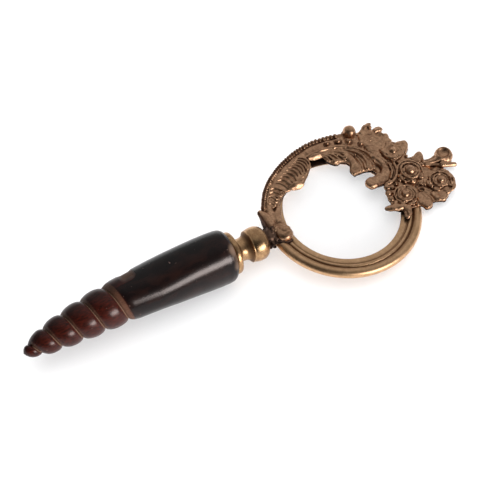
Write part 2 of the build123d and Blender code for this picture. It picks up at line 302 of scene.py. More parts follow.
    def sample(self, points):
        """The distance at any points, read between the block's cells."""
        at = (points - self.low) / self.voxel
        at = np.clip(at, 0, np.array(self.field.shape) - 1.001)
        cell = at.astype(int)
        f = at - cell
        total = np.zeros(len(points))
        for corner in np.ndindex(2, 2, 2):
            share = np.prod(np.where(corner, f, 1 - f), axis=1)
            i, j, k = (cell + corner).T
            total += share * self.field[i, j, k]
        return total

    def normals(self, points):
        """The outward direction of the surface at points near it."""
        step = self.voxel
        slope = [self.sample(points + d) - self.sample(points - d) for d in np.eye(3) * step]
        slope = np.array(slope).T
        return slope / (np.linalg.norm(slope, axis=1)[:, None] + 1e-9)

    def surface(self):
        """Points and quads of the surface, with how hollow and how edged each point is."""
        grid = openvdb.FloatGrid(FAR)
        grid.copyFromArray(np.clip(self.field, -FAR, FAR).astype(np.float32))
        points, triangles, quads = grid.convertToPolygons(0.0, 0.0)
        points = points * self.voxel + self.low
        out = self.normals(points)
        hollow = np.zeros(len(points))
        edge = np.zeros(len(points))
        # the hollow value is ambient occlusion sampled from the field: painted shade in recesses, together
        # with the patina that gathers there
        for reach in (0.4, 0.8, 1.6):
            hollow += np.clip(1 - self.sample(points + out * reach) / reach, 0, 1.5) / 3
            edge += np.clip(1 + self.sample(points - out * reach) / reach, 0, 1) / 3
        # painted shade: steep sides low down, near the table, are kept dark along with their patina
        low = np.clip((DARK_SIDE_TOP - points[:, 2]) / 0.8, 0, 1)
        steep = np.clip((0.88 - out[:, 2]) / 0.3, 0, 1)
        hollow = np.maximum(np.minimum(hollow, 0.85), low * steep)
        faces = [tuple(q) for q in quads.tolist()] + [tuple(t) for t in triangles.tolist()]
        return points, faces, {"hollow": hollow, "edge": edge}

    def beads(self, rows, soft):
        """Round beads: rows of x, y, z and radius."""
        for x, y, z, r in rows:
            self.ball((x, y, z), r, soft=soft)

    def piece(self, name, node, material=None, slot="cast_brass", tarnish_and_shade=None):
        """The finished casting as a piece. The last argument says how dark it is kept at a point: tarnish,
        and painted shade.
        """
        points, faces, values = self.surface()
        if tarnish_and_shade:
            values["hollow"] = np.maximum(values["hollow"], tarnish_and_shade(points))
        return add_piece(name, points, faces, material or CAST_BRASS, [node], values)


# ---- materials


def new_material(name):
    """A material with a Principled shader, and its node tree."""
    material = bpy.data.materials.new(name)
    material.use_nodes = True
    return material, material.node_tree, material.node_tree.nodes["Principled BSDF"]


def noise(tree, size_mm, detail=4.0, rough=0.55, squeeze=(1, 1, 1)):
    """A noise of the given grain in millimetres, the same wherever the camera stands."""
    place = tree.nodes.new("ShaderNodeTexCoord")
    stretch = tree.nodes.new("ShaderNodeMapping")
    stretch.inputs["Scale"].default_value = squeeze
    tree.links.new(place.outputs["Object"], stretch.inputs["Vector"])
    grain = tree.nodes.new("ShaderNodeTexNoise")
    grain.inputs["Scale"].default_value = 1 / (size_mm * MM)
    grain.inputs["Detail"].default_value = detail
    grain.inputs["Roughness"].default_value = rough
    tree.links.new(stretch.outputs["Vector"], grain.inputs["Vector"])
    return grain.outputs["Fac"]


def ramp(tree, value, *stops):
    """A colour ramp of value: each stop is a position and a grey level or a colour."""
    node = tree.nodes.new("ShaderNodeValToRGB")
    while len(node.color_ramp.elements) < len(stops):
        node.color_ramp.elements.new(0.5)
    for element, (position, colour) in zip(node.color_ramp.elements, stops):
        element.position = position
        element.color = (*colour, 1) if hasattr(colour, "__len__") else (colour,) * 3 + (1,)
    tree.links.new(value, node.inputs["Fac"])
    return node.outputs["Color"]


def mixed(tree, share, a, b, mode="MIX"):
    """Two colours mixed by a share. Each is a socket or a colour."""
    node = tree.nodes.new("ShaderNodeMix")
    node.data_type = "RGBA"
    node.blend_type = mode
    for socket, source in ((node.inputs[0], share), (node.inputs[6], a), (node.inputs[7], b)):
        if isinstance(source, bpy.types.NodeSocket):
            tree.links.new(source, socket)
        elif hasattr(source, "__len__"):
            socket.default_value = (*source, 1)
        else:
            socket.default_value = source
    return node.outputs[2]


def worked(tree, kind, a, b):
    """A sum, product or other arithmetic of two values. Each is a socket or a number."""
    node = tree.nodes.new("ShaderNodeMath")
    node.operation = kind
    for socket, source in zip(node.inputs, (a, b)):
        if isinstance(source, bpy.types.NodeSocket):
            tree.links.new(source, socket)
        else:
            socket.default_value = source
    return node.outputs[0]


def stored(tree, key):
    """A value that the mesh carries at its points."""
    node = tree.nodes.new("ShaderNodeAttribute")
    node.attribute_name = key
    return node.outputs["Fac"]


def bumped(tree, shader, height, depth_mm, strength=1.0):
    """Surface relief of the given depth from a height value."""
    bump = tree.nodes.new("ShaderNodeBump")
    bump.inputs["Distance"].default_value = depth_mm * MM
    bump.inputs["Strength"].default_value = strength
    tree.links.new(height, bump.inputs["Height"])
    tree.links.new(bump.outputs["Normal"], shader.inputs["Normal"])


# The darkest tone: painted shade on low sides, on the ring's inner wall and under the crest's leaves, with
# patina
DARKEST_SHADE_AND_PATINA = (0.035, 0.018, 0.013)


def feed(tree, shader, **sources):
    """Link values to the shader's inputs, whose names are written with underscores."""
    for name, source in sources.items():
        tree.links.new(source, shader.inputs[name.replace("_", " ")])


def antique_brass(name, light, mid, dark, polish, hollows, mottling):
    """Brass with a brown patina that is darkest in the hollows and worn off on the edges. The hollow value
    also carries painted shade: in recesses, on low sides and under the crest.

    The polish is the roughness where it is smoothest. The hollows are the two depths between
    which the patina closes, and the mottling is how strongly it is spotted.
    """
    material, tree, shader = new_material(name)
    shader.inputs["Metallic"].default_value = 1.0
    hollow = ramp(tree, stored(tree, "hollow"), (hollows[0], 0.0), (hollows[1], 1.0))
    deepest = ramp(tree, stored(tree, "hollow"), (0.84, 0.0), (1.0, 1.0))
    edge = ramp(tree, stored(tree, "edge"), (0.3, 0.0), (0.75, 1.0))
    patches = ramp(tree, noise(tree, 2.6), (0.35, 0.0), (0.68, 1.0))
    skin = mixed(tree, patches, mid, light)
    spots = ramp(tree, noise(tree, 0.9, 3.0, 0.6), (0.36, mottling), (0.60, 0.0))
    skin = mixed(tree, spots, skin, dark)
    skin = mixed(tree, worked(tree, "MULTIPLY", edge, 0.5), skin, light)
    # the hollow mask darkens the skin: patina, and painted shade
    skin = mixed(tree, hollow, skin, dark)
    # the deepest values get the darkest tone: painted shade
    skin = mixed(tree, deepest, skin, DARKEST_SHADE_AND_PATINA)
    grain = noise(tree, 0.35, 5.0, 0.65)
    rough = ramp(tree, grain, (0.3, polish), (0.7, polish + 0.14))
    rough = mixed(tree, hollow, rough, (0.62, 0.62, 0.62))
    feed(tree, shader, Base_Color=skin, Roughness=rough)
    bumped(tree, shader, noise(tree, 0.55, 4.0, 0.6), 0.06, 0.6)
    return material


CAST_BRASS = antique_brass(
    "cast_brass",
    light=(0.68, 0.41, 0.245),
    mid=(0.458, 0.261, 0.155),
    dark=(0.15, 0.072, 0.044),
    polish=0.28,
    hollows=(0.25, 0.85),
    mottling=0.45,
)
RING_BRASS = antique_brass(
    "ring_brass",
    light=(0.74, 0.465, 0.265),
    mid=(0.59, 0.36, 0.195),
    dark=(0.17, 0.078, 0.036),
    polish=0.31,
    hollows=(0.10, 0.80),
    mottling=0.16,
)
NECK_BRASS = antique_brass(
    "neck_brass",
    light=(0.60, 0.37, 0.190),
    mid=(0.38, 0.22, 0.112),
    dark=(0.10, 0.048, 0.024),
    polish=0.21,
    hollows=(0.10, 0.80),
    mottling=0.25,
)
SOLDER = antique_brass(
    "solder_brass",
    light=(0.22, 0.13, 0.09),
    mid=(0.10, 0.06, 0.045),
    dark=(0.02, 0.011, 0.009),
    polish=0.42,
    hollows=(0.10, 0.50),
    mottling=0.3,
)


def horn_material():
    """Buffalo horn: black and polished on the barrel, red-brown where it is carved."""
    material, tree, shader = new_material("carved_horn")
    clouds = noise(tree, 9.0, 3.0, 0.5, (1.0, 2.2, 2.2))
    black = mixed(
        tree,
        ramp(tree, clouds, (0.45, 0.0), (0.75, 1.0)),
        (0.0060, 0.0038, 0.0038),
        (0.017, 0.0075, 0.0060),
    )
    fibres = noise(tree, 2.4, 5.0, 0.6, (1.0, 4.0, 4.0))
    grain = ramp(tree, fibres, (0.3, 0.0), (0.7, 1.0))
    red = mixed(tree, grain, (0.008, 0.0030, 0.0024), (0.063, 0.0110, 0.0066))
    brown = mixed(tree, grain, (0.080, 0.038, 0.023), (0.150, 0.075, 0.046))
    colour = mixed(tree, stored(tree, "carved"), black, red)
    matte = stored(tree, "matte")
    colour = mixed(tree, matte, colour, brown)
    pale = stored(tree, "pale")
    colour = mixed(tree, pale, colour, (0.34, 0.24, 0.17))
    flecks = ramp(tree, noise(tree, 1.3, 2.0, 0.4), (0.755, 0.0), (0.775, 0.7))
    colour = mixed(tree, flecks, colour, (0.20, 0.14, 0.12))
    dull = worked(tree, "MAXIMUM", matte, pale)
    polished = mixed(tree, stored(tree, "carved"), (0.22, 0.22, 0.22), (0.28, 0.28, 0.28))
    rough = mixed(tree, dull, polished, (0.6, 0.6, 0.6))
    feed(tree, shader, Base_Color=colour, Roughness=rough)
    shader.inputs["IOR"].default_value = 1.29
    bumped(tree, shader, noise(tree, 1.1, 4.0, 0.5, (1.0, 3.0, 3.0)), 0.05, 0.35)
    return material


def steel_material():
    """Plain drawn steel for the tang inside the handle."""
    material, tree, shader = new_material("tang_steel")
    shader.inputs["Metallic"].default_value = 1.0
    streaks = noise(tree, 0.8, 3.0, 0.5, (0.1, 1.0, 1.0))
    colour = mixed(tree, streaks, (0.32, 0.31, 0.30), (0.50, 0.49, 0.47))
    feed(tree, shader, Base_Color=colour, Roughness=ramp(tree, streaks, (0.3, 0.30), (0.7, 0.45)))
    bumped(tree, shader, streaks, 0.02, 0.4)
    return material


def glass_material():
    """Clear optical glass with the faintest dust, which lets the lamps through."""
    material, tree, shader = new_material("lens_glass")
    shader.inputs["Base Color"].default_value = (1.0, 1.0, 1.0, 1)
    shader.inputs["Transmission Weight"].default_value = 1.0
    shader.inputs["IOR"].default_value = 1.20
    dust = ramp(tree, noise(tree, 6.0, 5.0, 0.7), (0.45, 0.0), (0.9, 0.03))
    feed(tree, shader, Roughness=dust)
    through = tree.nodes.new("ShaderNodeBsdfTransparent")
    path = tree.nodes.new("ShaderNodeLightPath")
    choice = tree.nodes.new("ShaderNodeMixShader")
    output = tree.nodes["Material Output"]
    tree.links.new(path.outputs["Is Shadow Ray"], choice.inputs[0])
    tree.links.new(shader.outputs["BSDF"], choice.inputs[1])
    tree.links.new(through.outputs["BSDF"], choice.inputs[2])
    tree.links.new(choice.outputs["Shader"], output.inputs["Surface"])
    return material


# ---- turned and plain pieces


def arc(centre, radius, start, end, count=8):
    """Points of an arc in a profile, from one angle to another in degrees."""
    angles = np.radians(np.linspace(start, end, count))
    return [(centre[0] + radius * math.cos(a), centre[1] + radius * math.sin(a)) for a in angles]


def smooth_profile(*points):
    """Points of a smooth curve in a profile, without its first."""
    return smooth_line(points, 0.35)[1:].tolist()


def turned(name, profile, axis, material, nodes, segments=192, hollow=None, shade=None):
    """A closed profile turned about the tool's X or Z axis. Profile rows are radius, place.

    The shade gives how dark a place is kept, from its radius and its angle in degrees.
    """
    profile = np.array(profile)
    angles = np.arange(segments) * 2 * math.pi / segments
    points = []
    for radius, place in profile:
        for a in angles:
            across = (radius * math.cos(a), radius * math.sin(a))
            points.append((*across, place) if axis == "Z" else (place, *across))
    values = {"hollow": np.repeat(hollow, segments), "edge": np.zeros(len(points))}
    if shade:
        kept = shade(np.repeat(profile[:, 0], segments), np.tile(np.degrees(angles), len(profile)))
        values["hollow"] = np.maximum(values["hollow"], kept)
    faces = grid_faces(len(profile), segments, closed_rows=True)
    if axis == "X":
        faces = [face[::-1] for face in faces]
    on_axis = [i for i, (radius, _) in enumerate(profile) if radius == 0]
    for i in on_axis:
        first = i * segments
        swap = {first + j: first for j in range(segments)}
        faces = [tuple(dict.fromkeys(swap.get(v, v) for v in face)) for face in faces]
        faces = [face for face in faces if len(face) > 2]
    return add_piece(name, points, faces, material, nodes, values)


def stepped_ring():
    """The ring: a round outer bead, a dark groove, a small crown and a flat inner land."""
    bead, crown = 35.6, 32.4
    profile = [(30.1, -2.4), (32.8, -2.4)]
    profile += arc((bead, 0), 2.4, -90, 140, 26)
    profile += [(33.6, 1.0), (33.45, 0.98)]
    profile += arc((crown, 0.8), 0.95, 10, 170, 12)
    profile += [(31.35, 0.62), (31.1, 0.5), (30.8, 0.58), (30.4, 0.78), (29.6, 0.72), (28.5, 0.58)]
    profile += arc((28.3, 0.25), 0.3, 80, 180, 5)
    profile += [(28.0, -0.25), (30.1, -0.25)]
    # groove, land and flank take patina; the inner wall is painted dark all round as painted shade
    hollow = []
    for r, z in profile:
        groove = 0.75 * (33.35 < r < 33.95 and z > 0.9)
        land = 0.45 * (30.5 < r < 31.6 and z > 0.2)
        flank = 0.28 * (33.9 < r < 35.4 and z > 1.0)
        inner_wall = 1.0 * (r < 28.35 and z < 0.45)
        hollow.append(max(groove, land, flank, inner_wall))

    def shade(radius, angle):
        """Painted shadow: the land is darkest where the crest's leaves stand over it."""
        return np.clip(1.9 - np.abs(angle - 84) / 14, 0, 1) * (radius < 31.7)

    return turned(
        "stepped_ring", profile, "Z", RING_BRASS, ["ring_frame"], 288, hollow, shade
    )


def polished_neck():
    """The disc, the flared waist and the knop, turned from one bar."""
    disc = [(3.0, -60.3), (8.4, -60.3)]
    disc += [(9.45, -60.3), (9.9, -60.1), (10.12, -59.5), (10.15, -58.8), (10.05, -58.0)]
    disc += [(9.75, -57.5), (9.25, -57.3)]
    waist = smooth_profile(
        (9.25, -57.3), (7.3, -56.9), (5.95, -56.0), (5.5, -54.8), (5.42, -53.5), (5.6, -52.4),
        (6.2, -51.2), (7.1, -50.2),
    )
    lip = [(7.5, -50.15), (7.62, -50.0), (7.6, -49.85), (7.48, -49.75)]
    knop = smooth_profile(
        (7.48, -49.75), (7.9, -48.6), (8.2, -46.6), (8.05, -44.6), (7.3, -42.9), (5.9, -41.7), (4.4, -41.2)
    )
    profile = disc + waist + lip + knop + [(0.6, -41.2), (0.6, -50.8), (3.0, -50.8)]
    # painted shade: the neck is darker beside the lip, in the corner by the disc and next to the solder
    # joint, and a little dark all over
    hollow = []
    for _, place in profile:
        near_lip = 0.75 * (-53.0 < place < -50.15) * math.exp(-(((place + 50.9) / 1.6) ** 2))
        near_disc = 0.55 * math.exp(-(((place + 57.1) / 0.4) ** 2))
        near_joint = 0.8 * math.exp(-(((place + 41.2) / 1.3) ** 2))
        hollow.append(0.1 + 0.75 * max(near_lip, near_disc, near_joint))
    return turned("polished_neck", profile, "X", NECK_BRASS, ["turned_neck"], 160, hollow)


def clear_lens():
    """A biconvex lens with a ground edge."""
    radius, face_radius, edge_top, edge_bottom = 30.0, 260.0, -0.48, -1.88
    bulge = face_radius - math.sqrt(face_radius**2 - radius**2)
    steps = [0.0] + [radius * i / 14 for i in range(1, 15)]
    drop = [face_radius - math.sqrt(face_radius**2 - r * r) for r in steps]
    top = [(r, edge_top + bulge - d) for r, d in zip(steps, drop)]
    bottom = [(r, edge_bottom - bulge + d) for r, d in zip(steps, drop)]
    profile = bottom + top[::-1]
    even = [0.0] * len(profile)
    return turned("clear_lens", profile, "Z", glass_material(), ["lens"], 144, even)


# ---- carved horn

HORN_TIP = -162.8
HORN_END = -60.3
BEND_START = -62.0
CARVING_START = -159.9
FIRST_HALF_PITCH = 4.2
PITCH_GROWTH = 0.09
GROOVE_ANGLE = 31.0
WHORL_ROUNDNESS = 0.45
WALL_WIDTH = 2.8
PATCH_END = -105.3
BEND_SIDEWAYS = -3.1
BEND_DOWN = -9.9
BEND_POWER = 2.33
HORN_ENVELOPE = (
    (-162.8, 0.6), (-162.4, 1.5), (-161.6, 2.5), (-160.4, 3.4), (-158.5, 4.3), (-153.7, 6.1),
    (-148.7, 7.1), (-143.0, 8.0), (-136.7, 8.8), (-129.8, 9.6), (-122.8, 10.1), (-115.0, 10.4),
    (-105.0, 11.0), (-97.7, 11.45), (-90.3, 12.0), (-82.8, 12.45), (-75.2, 12.8), (-68.0, 12.95),
    (-64.0, 12.85), (-62.2, 12.5), (-61.0, 11.8), (-60.45, 10.9), (-60.3, 10.0),
)


def groove_place(k):
    """The station of the groove after k half turns from the tip."""
    return CARVING_START + FIRST_HALF_PITCH * k + PITCH_GROWTH * k * k


def half_turns(x):
    """Half turns of the groove from the tip to a station."""
    root = np.sqrt(FIRST_HALF_PITCH**2 + 4 * PITCH_GROWTH * np.maximum(x - CARVING_START, -3.0))
    return (root - FIRST_HALF_PITCH) / (2 * PITCH_GROWTH)


def crease_depth(k, plain):
    """How deep a crease is cut after k half turns: it runs out underneath the barrel."""
    fade = np.clip((9.7 - k) / 0.8, 0, 1)
    return np.minimum(2.6, 0.6 * plain) * fade * fade * (3 - 2 * fade)


def horn_form(x, angle):
    """Radius of the carved horn at stations and angles, and what its surface is like there."""
    stations, radii = np.array(HORN_ENVELOPE).T
    plain = np.interp(x, stations, radii)
    turn = (angle - GROOVE_ANGLE) / 180
    phase = (half_turns(x) - turn) / 2
    whorl = phase - np.floor(phase)
    before = 2 * np.floor(phase) + turn
    after = before + 2
    rise = np.clip(1 - (2 * whorl - 1) ** 2, 0, 1) ** WHORL_ROUNDNESS
    depth = np.where(whorl < 0.5, crease_depth(before, plain), crease_depth(after, plain))
    radius = plain - depth * (1 - rise)
    past = x - groove_place(before)
    short = groove_place(after) - x
    carving = (x > groove_place(0.4)) * np.clip(depth / 1.5, 0, 1)
    off_top = np.abs((angle - GROOVE_ANGLE + 180) % 360 - 180)
    patch = np.clip((52 - off_top) / 16, 0, 1)
    wall_end = groove_place(8 + turn) + WALL_WIDTH
    patch_end = np.where(patch > 0, PATCH_END - 2.0 * (1 - patch) ** 2, wall_end)
    black_start = np.maximum(wall_end, patch_end)
    carved = 1 / (1 + np.exp((x - black_start) / 0.22))
    last_wall = np.clip((x - groove_place(8 + turn) + 0.2) / 0.5, 0, 1) * carved
    last_wall = last_wall * np.clip((wall_end + 0.2 - x) / 0.5, 0, 1)
    last_wall = last_wall * np.clip((9.9 - 8 - turn) / 0.4, 0, 1)
    scoop = np.clip(1.3 - ((x - PATCH_END + 3.4) / 3.4) ** 2, 0, 1) * patch * carved
    radius = radius - 0.5 * np.clip(scoop, 0, 1)
    strip = np.clip(1.3 - np.abs(past - 0.6) / 0.6, 0, 1) * carving * 0.7
    pale = (np.exp(-((short / 0.22) ** 2)) + 0.6 * np.exp(-((past / 0.22) ** 2))) * carving
    matte = np.clip(0.8 * last_wall + scoop + strip, 0, 1)
    return radius, carved, matte, np.clip(0.75 * pale, 0, 1)


def carved_horn():
    """The horn, drawn on a fine mesh of rings so that the spiral carving stays crisp."""
    around = 168
    angles = GROOVE_ANGLE + 360 * np.arange(around) / around
    stations = np.concatenate([
        np.linspace(HORN_TIP, CARVING_START, 22)[:-1],
        np.arange(CARVING_START, -103.0, 0.16),
        np.linspace(-103.0, -64.0, 48),
        np.linspace(-63.6, HORN_END, 16),
    ])
    x = np.repeat(stations[:, None], around, axis=1)
    a = np.repeat(angles[None, :], len(stations), axis=0)
    radius, carved, matte, pale = horn_form(x, a)
    # the barrel is a little oval towards the neck, but no wider underneath
    oval = np.interp(x, (-112, -98, -80, -66, HORN_END), (0, -0.03, 0.04, 0.06, 0.03))
    swell = oval * np.cos(2 * np.radians(a - 85))
    swell = swell - np.maximum(swell, 0) * np.clip(-2 * np.sin(np.radians(a)), 0, 1)
    radius = radius * (1 + swell)
    run = np.maximum((BEND_START - x) / (BEND_START - HORN_TIP), 0) ** BEND_POWER
    slope = np.gradient(BEND_DOWN * run[:, 0], stations)
    lean = slope[:, None] * radius * np.sin(np.radians(a))
    px = x - lean
    py = BEND_SIDEWAYS * run + radius * np.cos(np.radians(a))
    pz = BEND_DOWN * run + radius * np.sin(np.radians(a))
    points = np.stack([px, py, pz], -1).reshape(-1, 3)
    faces = [face[::-1] for face in grid_faces(len(stations), around)]
    tip, end = len(points), len(points) + 1
    centre_tip = (stations[0] - 0.25, BEND_SIDEWAYS, BEND_DOWN)
    points = np.vstack([points, [centre_tip, (HORN_END, 0, 0)]])
    last = (len(stations) - 1) * around
    faces += [((j + 1) % around, j, tip) for j in range(around)]
    faces += [(last + j, last + (j + 1) % around, end) for j in range(around)]
    # chipped, paler spots on the barrel's rim
    ripple = 0.9 * np.cos(3 * np.radians(a - 126)) + 0.6 * np.cos(8 * np.radians(a - 112))
    rim = np.clip((x + 62.9 + ripple) / 1.6, 0, 1) * np.clip(0.2 + 0.6 * ripple, 0, 1)
    pale = np.maximum(pale, 0.45 * rim)
    values = {"carved": carved, "matte": matte, "pale": pale}
    values = {key: np.append(v.ravel(), (0.0, 0.0)) for key, v in values.items()}
    values["carved"][-2] = 1.0
    return add_piece(
        "carved_horn", points, faces, horn_material(), ["horn_handle"], values
    )


# ---- crest: band and first leaf

BEADED_EDGE = ((-36.0, 14.2), (-30.0, 23.4), (-20.0, 31.6), (-7.5, 37.4), (5.5, 40.0), (20.6, 38.6))
CUFF_EDGE = ((-36.0, 14.2), (-32.0, 13.0), (-26.0, 13.6))
SPINE_EDGE = ((-1.0, 32.2), (8.6, 32.2), (15.5, 30.6), (22.4, 26.6), (27.3, 21.6))
SCROLL_EDGE = ((27.3, 21.6), (30.6, 15.0), (30.6, 9.4), (28.6, 5.4), (25.2, 2.6))
CREST_BALL = (24.8, 36.8, 4.1)
CREST_BALL_RADIUS = 3.2


def inset(line, gap):
    """A plan line moved sideways, to the right of its direction of travel."""
    along = np.gradient(line, axis=0)
    along /= np.linalg.norm(along, axis=1)[:, None]
    return line + gap * np.stack([along[:, 1], -along[:, 0]], 1)


def along_line(line, distances):
    """Points at given distances along a plan line, with the line's direction in degrees."""
    steps = np.linalg.norm(np.diff(line, axis=0), axis=1)
    travelled = np.concatenate([[0], np.cumsum(steps)])
    for d in distances:
        x, y = (np.interp(d, travelled, line[:, i]) for i in (0, 1))
        ahead = [np.interp(d + 0.3, travelled, line[:, i]) for i in (0, 1)]
        behind = [np.interp(d - 0.3, travelled, line[:, i]) for i in (0, 1)]
        yield x, y, math.degrees(math.atan2(ahead[1] - behind[1], ahead[0] - behind[0]))


def bead_rim(clay):
    """The beaded edge: fine gadroons at the cuff that grow into beads towards the ball."""
    edge = smooth_line([(*p, 0) for p in BEADED_EDGE])[:, :2]
    line = inset(edge, 1.2)
    clay.tube([(x, y, 2.3, 0.9) for x, y in line[::8]])
    clay.tube([(x, y, 3.95, 0.5) for x, y in inset(edge, 2.55)[::8]], soft=0.2, cut=True)
    length = np.linalg.norm(np.diff(line, axis=0), axis=1).sum()
    beads = []
    d = 0.6
    while d < length - 1.8:
        pitch = 0.95 + 1.25 * d / length
        beads.append((d, pitch))
        d += pitch
    for (x, y, heading), (_, pitch) in zip(along_line(line, [d for d, _ in beads]), beads):
        clay.ball((x, y, 3.35), (0.5 * pitch, 1.2, 1.05), turn=heading, soft=0.1)


def first_leaf_ribs(count):
    """Plan curves of the first leaf's ribs, fanned from the cuff to the leaf's curled end."""
    first = np.array([(-25.4, 22.6), (-23.4, 24.2), (-21.0, 23.6), (-19.4, 21.2), (-18.6, 19.4)])
    last = np.array([(-9.6, 32.2), (-6.2, 33.2), (-3.4, 31.8), (-2.1, 29.0), (-2.7, 26.2)])
    for u in np.linspace(0, 1, count):
        yield first + u * (last - first) + math.sin(math.pi * u) * np.array([1.4, 0.9])


def crest_band():
    """The beaded band with its row of bosses and the first curling leaf."""
    clay = Clay((-39, 11, 0.6), (32, 43, 7))
    outline = border(
        BEADED_EDGE,
        (24.9, 37.0),
        (28.8, 33.0),
        (27.3, 21.6),
        SPINE_EDGE[::-1],
        (-2.4, 27.4),
        ((-5.6, 23.2), (-10.8, 19.2)),
        ((-13.7, 19.6), (-18.4, 19.4)),
        ((-22.8, 16.6), (-26.0, 13.6)),
        CUFF_EDGE[::-1],
    )
    clay.plate(outline, CREST_UNDERSIDE, 3.0, edge=0.5)
    field = border(
        ((-34.2, 14.2), (-28.4, 22.4), (-19.2, 29.6), (-7.0, 34.9), (5.5, 37.4), (20.6, 36.0)),
        ((27.6, 30.4), (26.4, 23.0)),
        ((22.0, 27.8), (15.5, 31.4), (8.6, 33.0), (-1.4, 33.0)),
        (-2.6, 27.2),
        ((-5.8, 23.8), (-10.9, 20.0)),
        ((-14.0, 20.4), (-18.6, 20.0)),
        ((-22.6, 17.2), (-27.2, 12.4)),
        (-34.6, 12.4),
        (-34.2, 14.2),
    )
    clay.plate(field, 1.6, 3.0, edge=0.4, crown=0.95, crown_width=2.6)
    bead_rim(clay)
    for x, y, r in ((11.2, 34.9, 1.05), (16.8, 33.9, 1.2), (21.7, 31.8, 1.2), (26.2, 28.0, 1.05)):
        clay.ball((x, y, 3.9), (1.7 * r, 1.7 * r, 0.6), soft=0.4, cut=True)
        clay.ball((x, y, 4.2), (r, r, 1.1 * r), soft=0.15)
    for x, y in ((0.6, 35.5), (5.8, 35.6)):
        clay.ball((x, y, 4.2), 0.55, soft=0.15, cut=True)
    ribs = list(first_leaf_ribs(10))
    for rib, following in zip(ribs, ribs[1:]):
        valley = 0.5 * (rib + following)
        rows = strand(valley, (4.3, 4.25, 4.15, 3.95, 3.55), (0.25, 0.38, 0.42, 0.4, 0.3))
        clay.tube(rows, soft=0.35, cut=True)
    for rib in ribs:
        clay.tube(strand(rib, (3.6, 3.95, 4.0, 3.8, 3.4), (0.24, 0.38, 0.46, 0.46, 0.4)), soft=0.25)
    # folds nearer the cuff, with a few crinkles that catch the light
    side = ((-29.6, 18.6), (-28.0, 21.2), (-25.8, 21.6), (-23.6, 20.2), (-22.0, 18.0))
    for i in range(4):
        line = [(x - 1.35 * i, y - 1.75 * i) for x, y in side[: 5 - i]]
        heights = (3.9, 4.2, 4.2, 4.0, 3.6)[: 5 - i]
        clay.tube(strand(line, heights, 0.55), cut=True)
        above = [(x + 0.75, y + 0.85) for x, y in line]
        clay.tube(strand(above, [h - 0.25 for h in heights], 0.32), soft=0.2)
    crinkles = ((-24.0, 18.2), (-22.8, 18.7), (-21.6, 18.9), (-26.6, 18.0), (-27.6, 17.0), (-26.6, 15.9),
                (-29.6, 14.2), (-27.6, 14.4), (-25.6, 16.4), (-24.3, 16.6), (-28.8, 15.8), (-30.8, 15.0))
    for i, (x, y) in enumerate(crinkles):
        swing = 0.45 * (-1) ** i
        crinkle = [(x - 0.7, y + 0.5 + swing, 4.2, 0.24), (x + 0.7, y - 0.6 - swing, 3.95, 0.24)]
        clay.tube(crinkle, soft=0.15)
        gap = [(x + 0.1, y + 1.1 + swing, 4.3, 0.3), (x + 1.3, y - 0.2 - swing, 3.9, 0.3)]
        clay.tube(gap, soft=0.2, cut=True)
    # the leaf's folded lip faces forward, and its inner edge is knotted
    clay.ball((-14.6, 18.9, 3.9), (2.0, 4.1, 0.7), turn=-97, tilt=-48, soft=0.2)
    clay.tube([(-19.6, 19.2, 2.6, 0.7), (-18.2, 19.2, 2.6, 0.9)])
    curl = [
        (-10.9, 19.4, 2.5, 0.7), (-7.9, 22.0, 2.7, 0.8), (-5.6, 24.2, 2.9, 0.85),
        (-2.9, 27.2, 3.0, 0.85),
    ]
    clay.tube(curl)
    clay.beads([
        (-8.9, 22.6, 3.6, 0.6), (-6.6, 23.8, 3.6, 0.75), (-4.9, 25.6, 3.6, 0.7), (-7.4, 24.4, 3.6, 0.5),
        (-10.2, 20.8, 3.6, 0.5),
    ], soft=0.2)
    clay.roughen(2.2, 0.16, 3)
    clay.roughen(1.0, 0.10, 4)

    def tarnish_and_shade(points):
        """The beaded edge outside the leaf is darker, most of all near the neck."""
        outside = plan_distance(points[:, 0], points[:, 1], field)
        outside = np.where(np.hypot(points[:, 0], points[:, 1]) > 34, outside, 0)
        return np.clip(outside / 0.5, 0, 1) * np.clip(0.62 - 0.010 * points[:, 0], 0.40, 0.8)

    return clay.piece("crest_band_cast", "crest_band", tarnish_and_shade=tarnish_and_shade)


# ---- crest: plumes and scroll


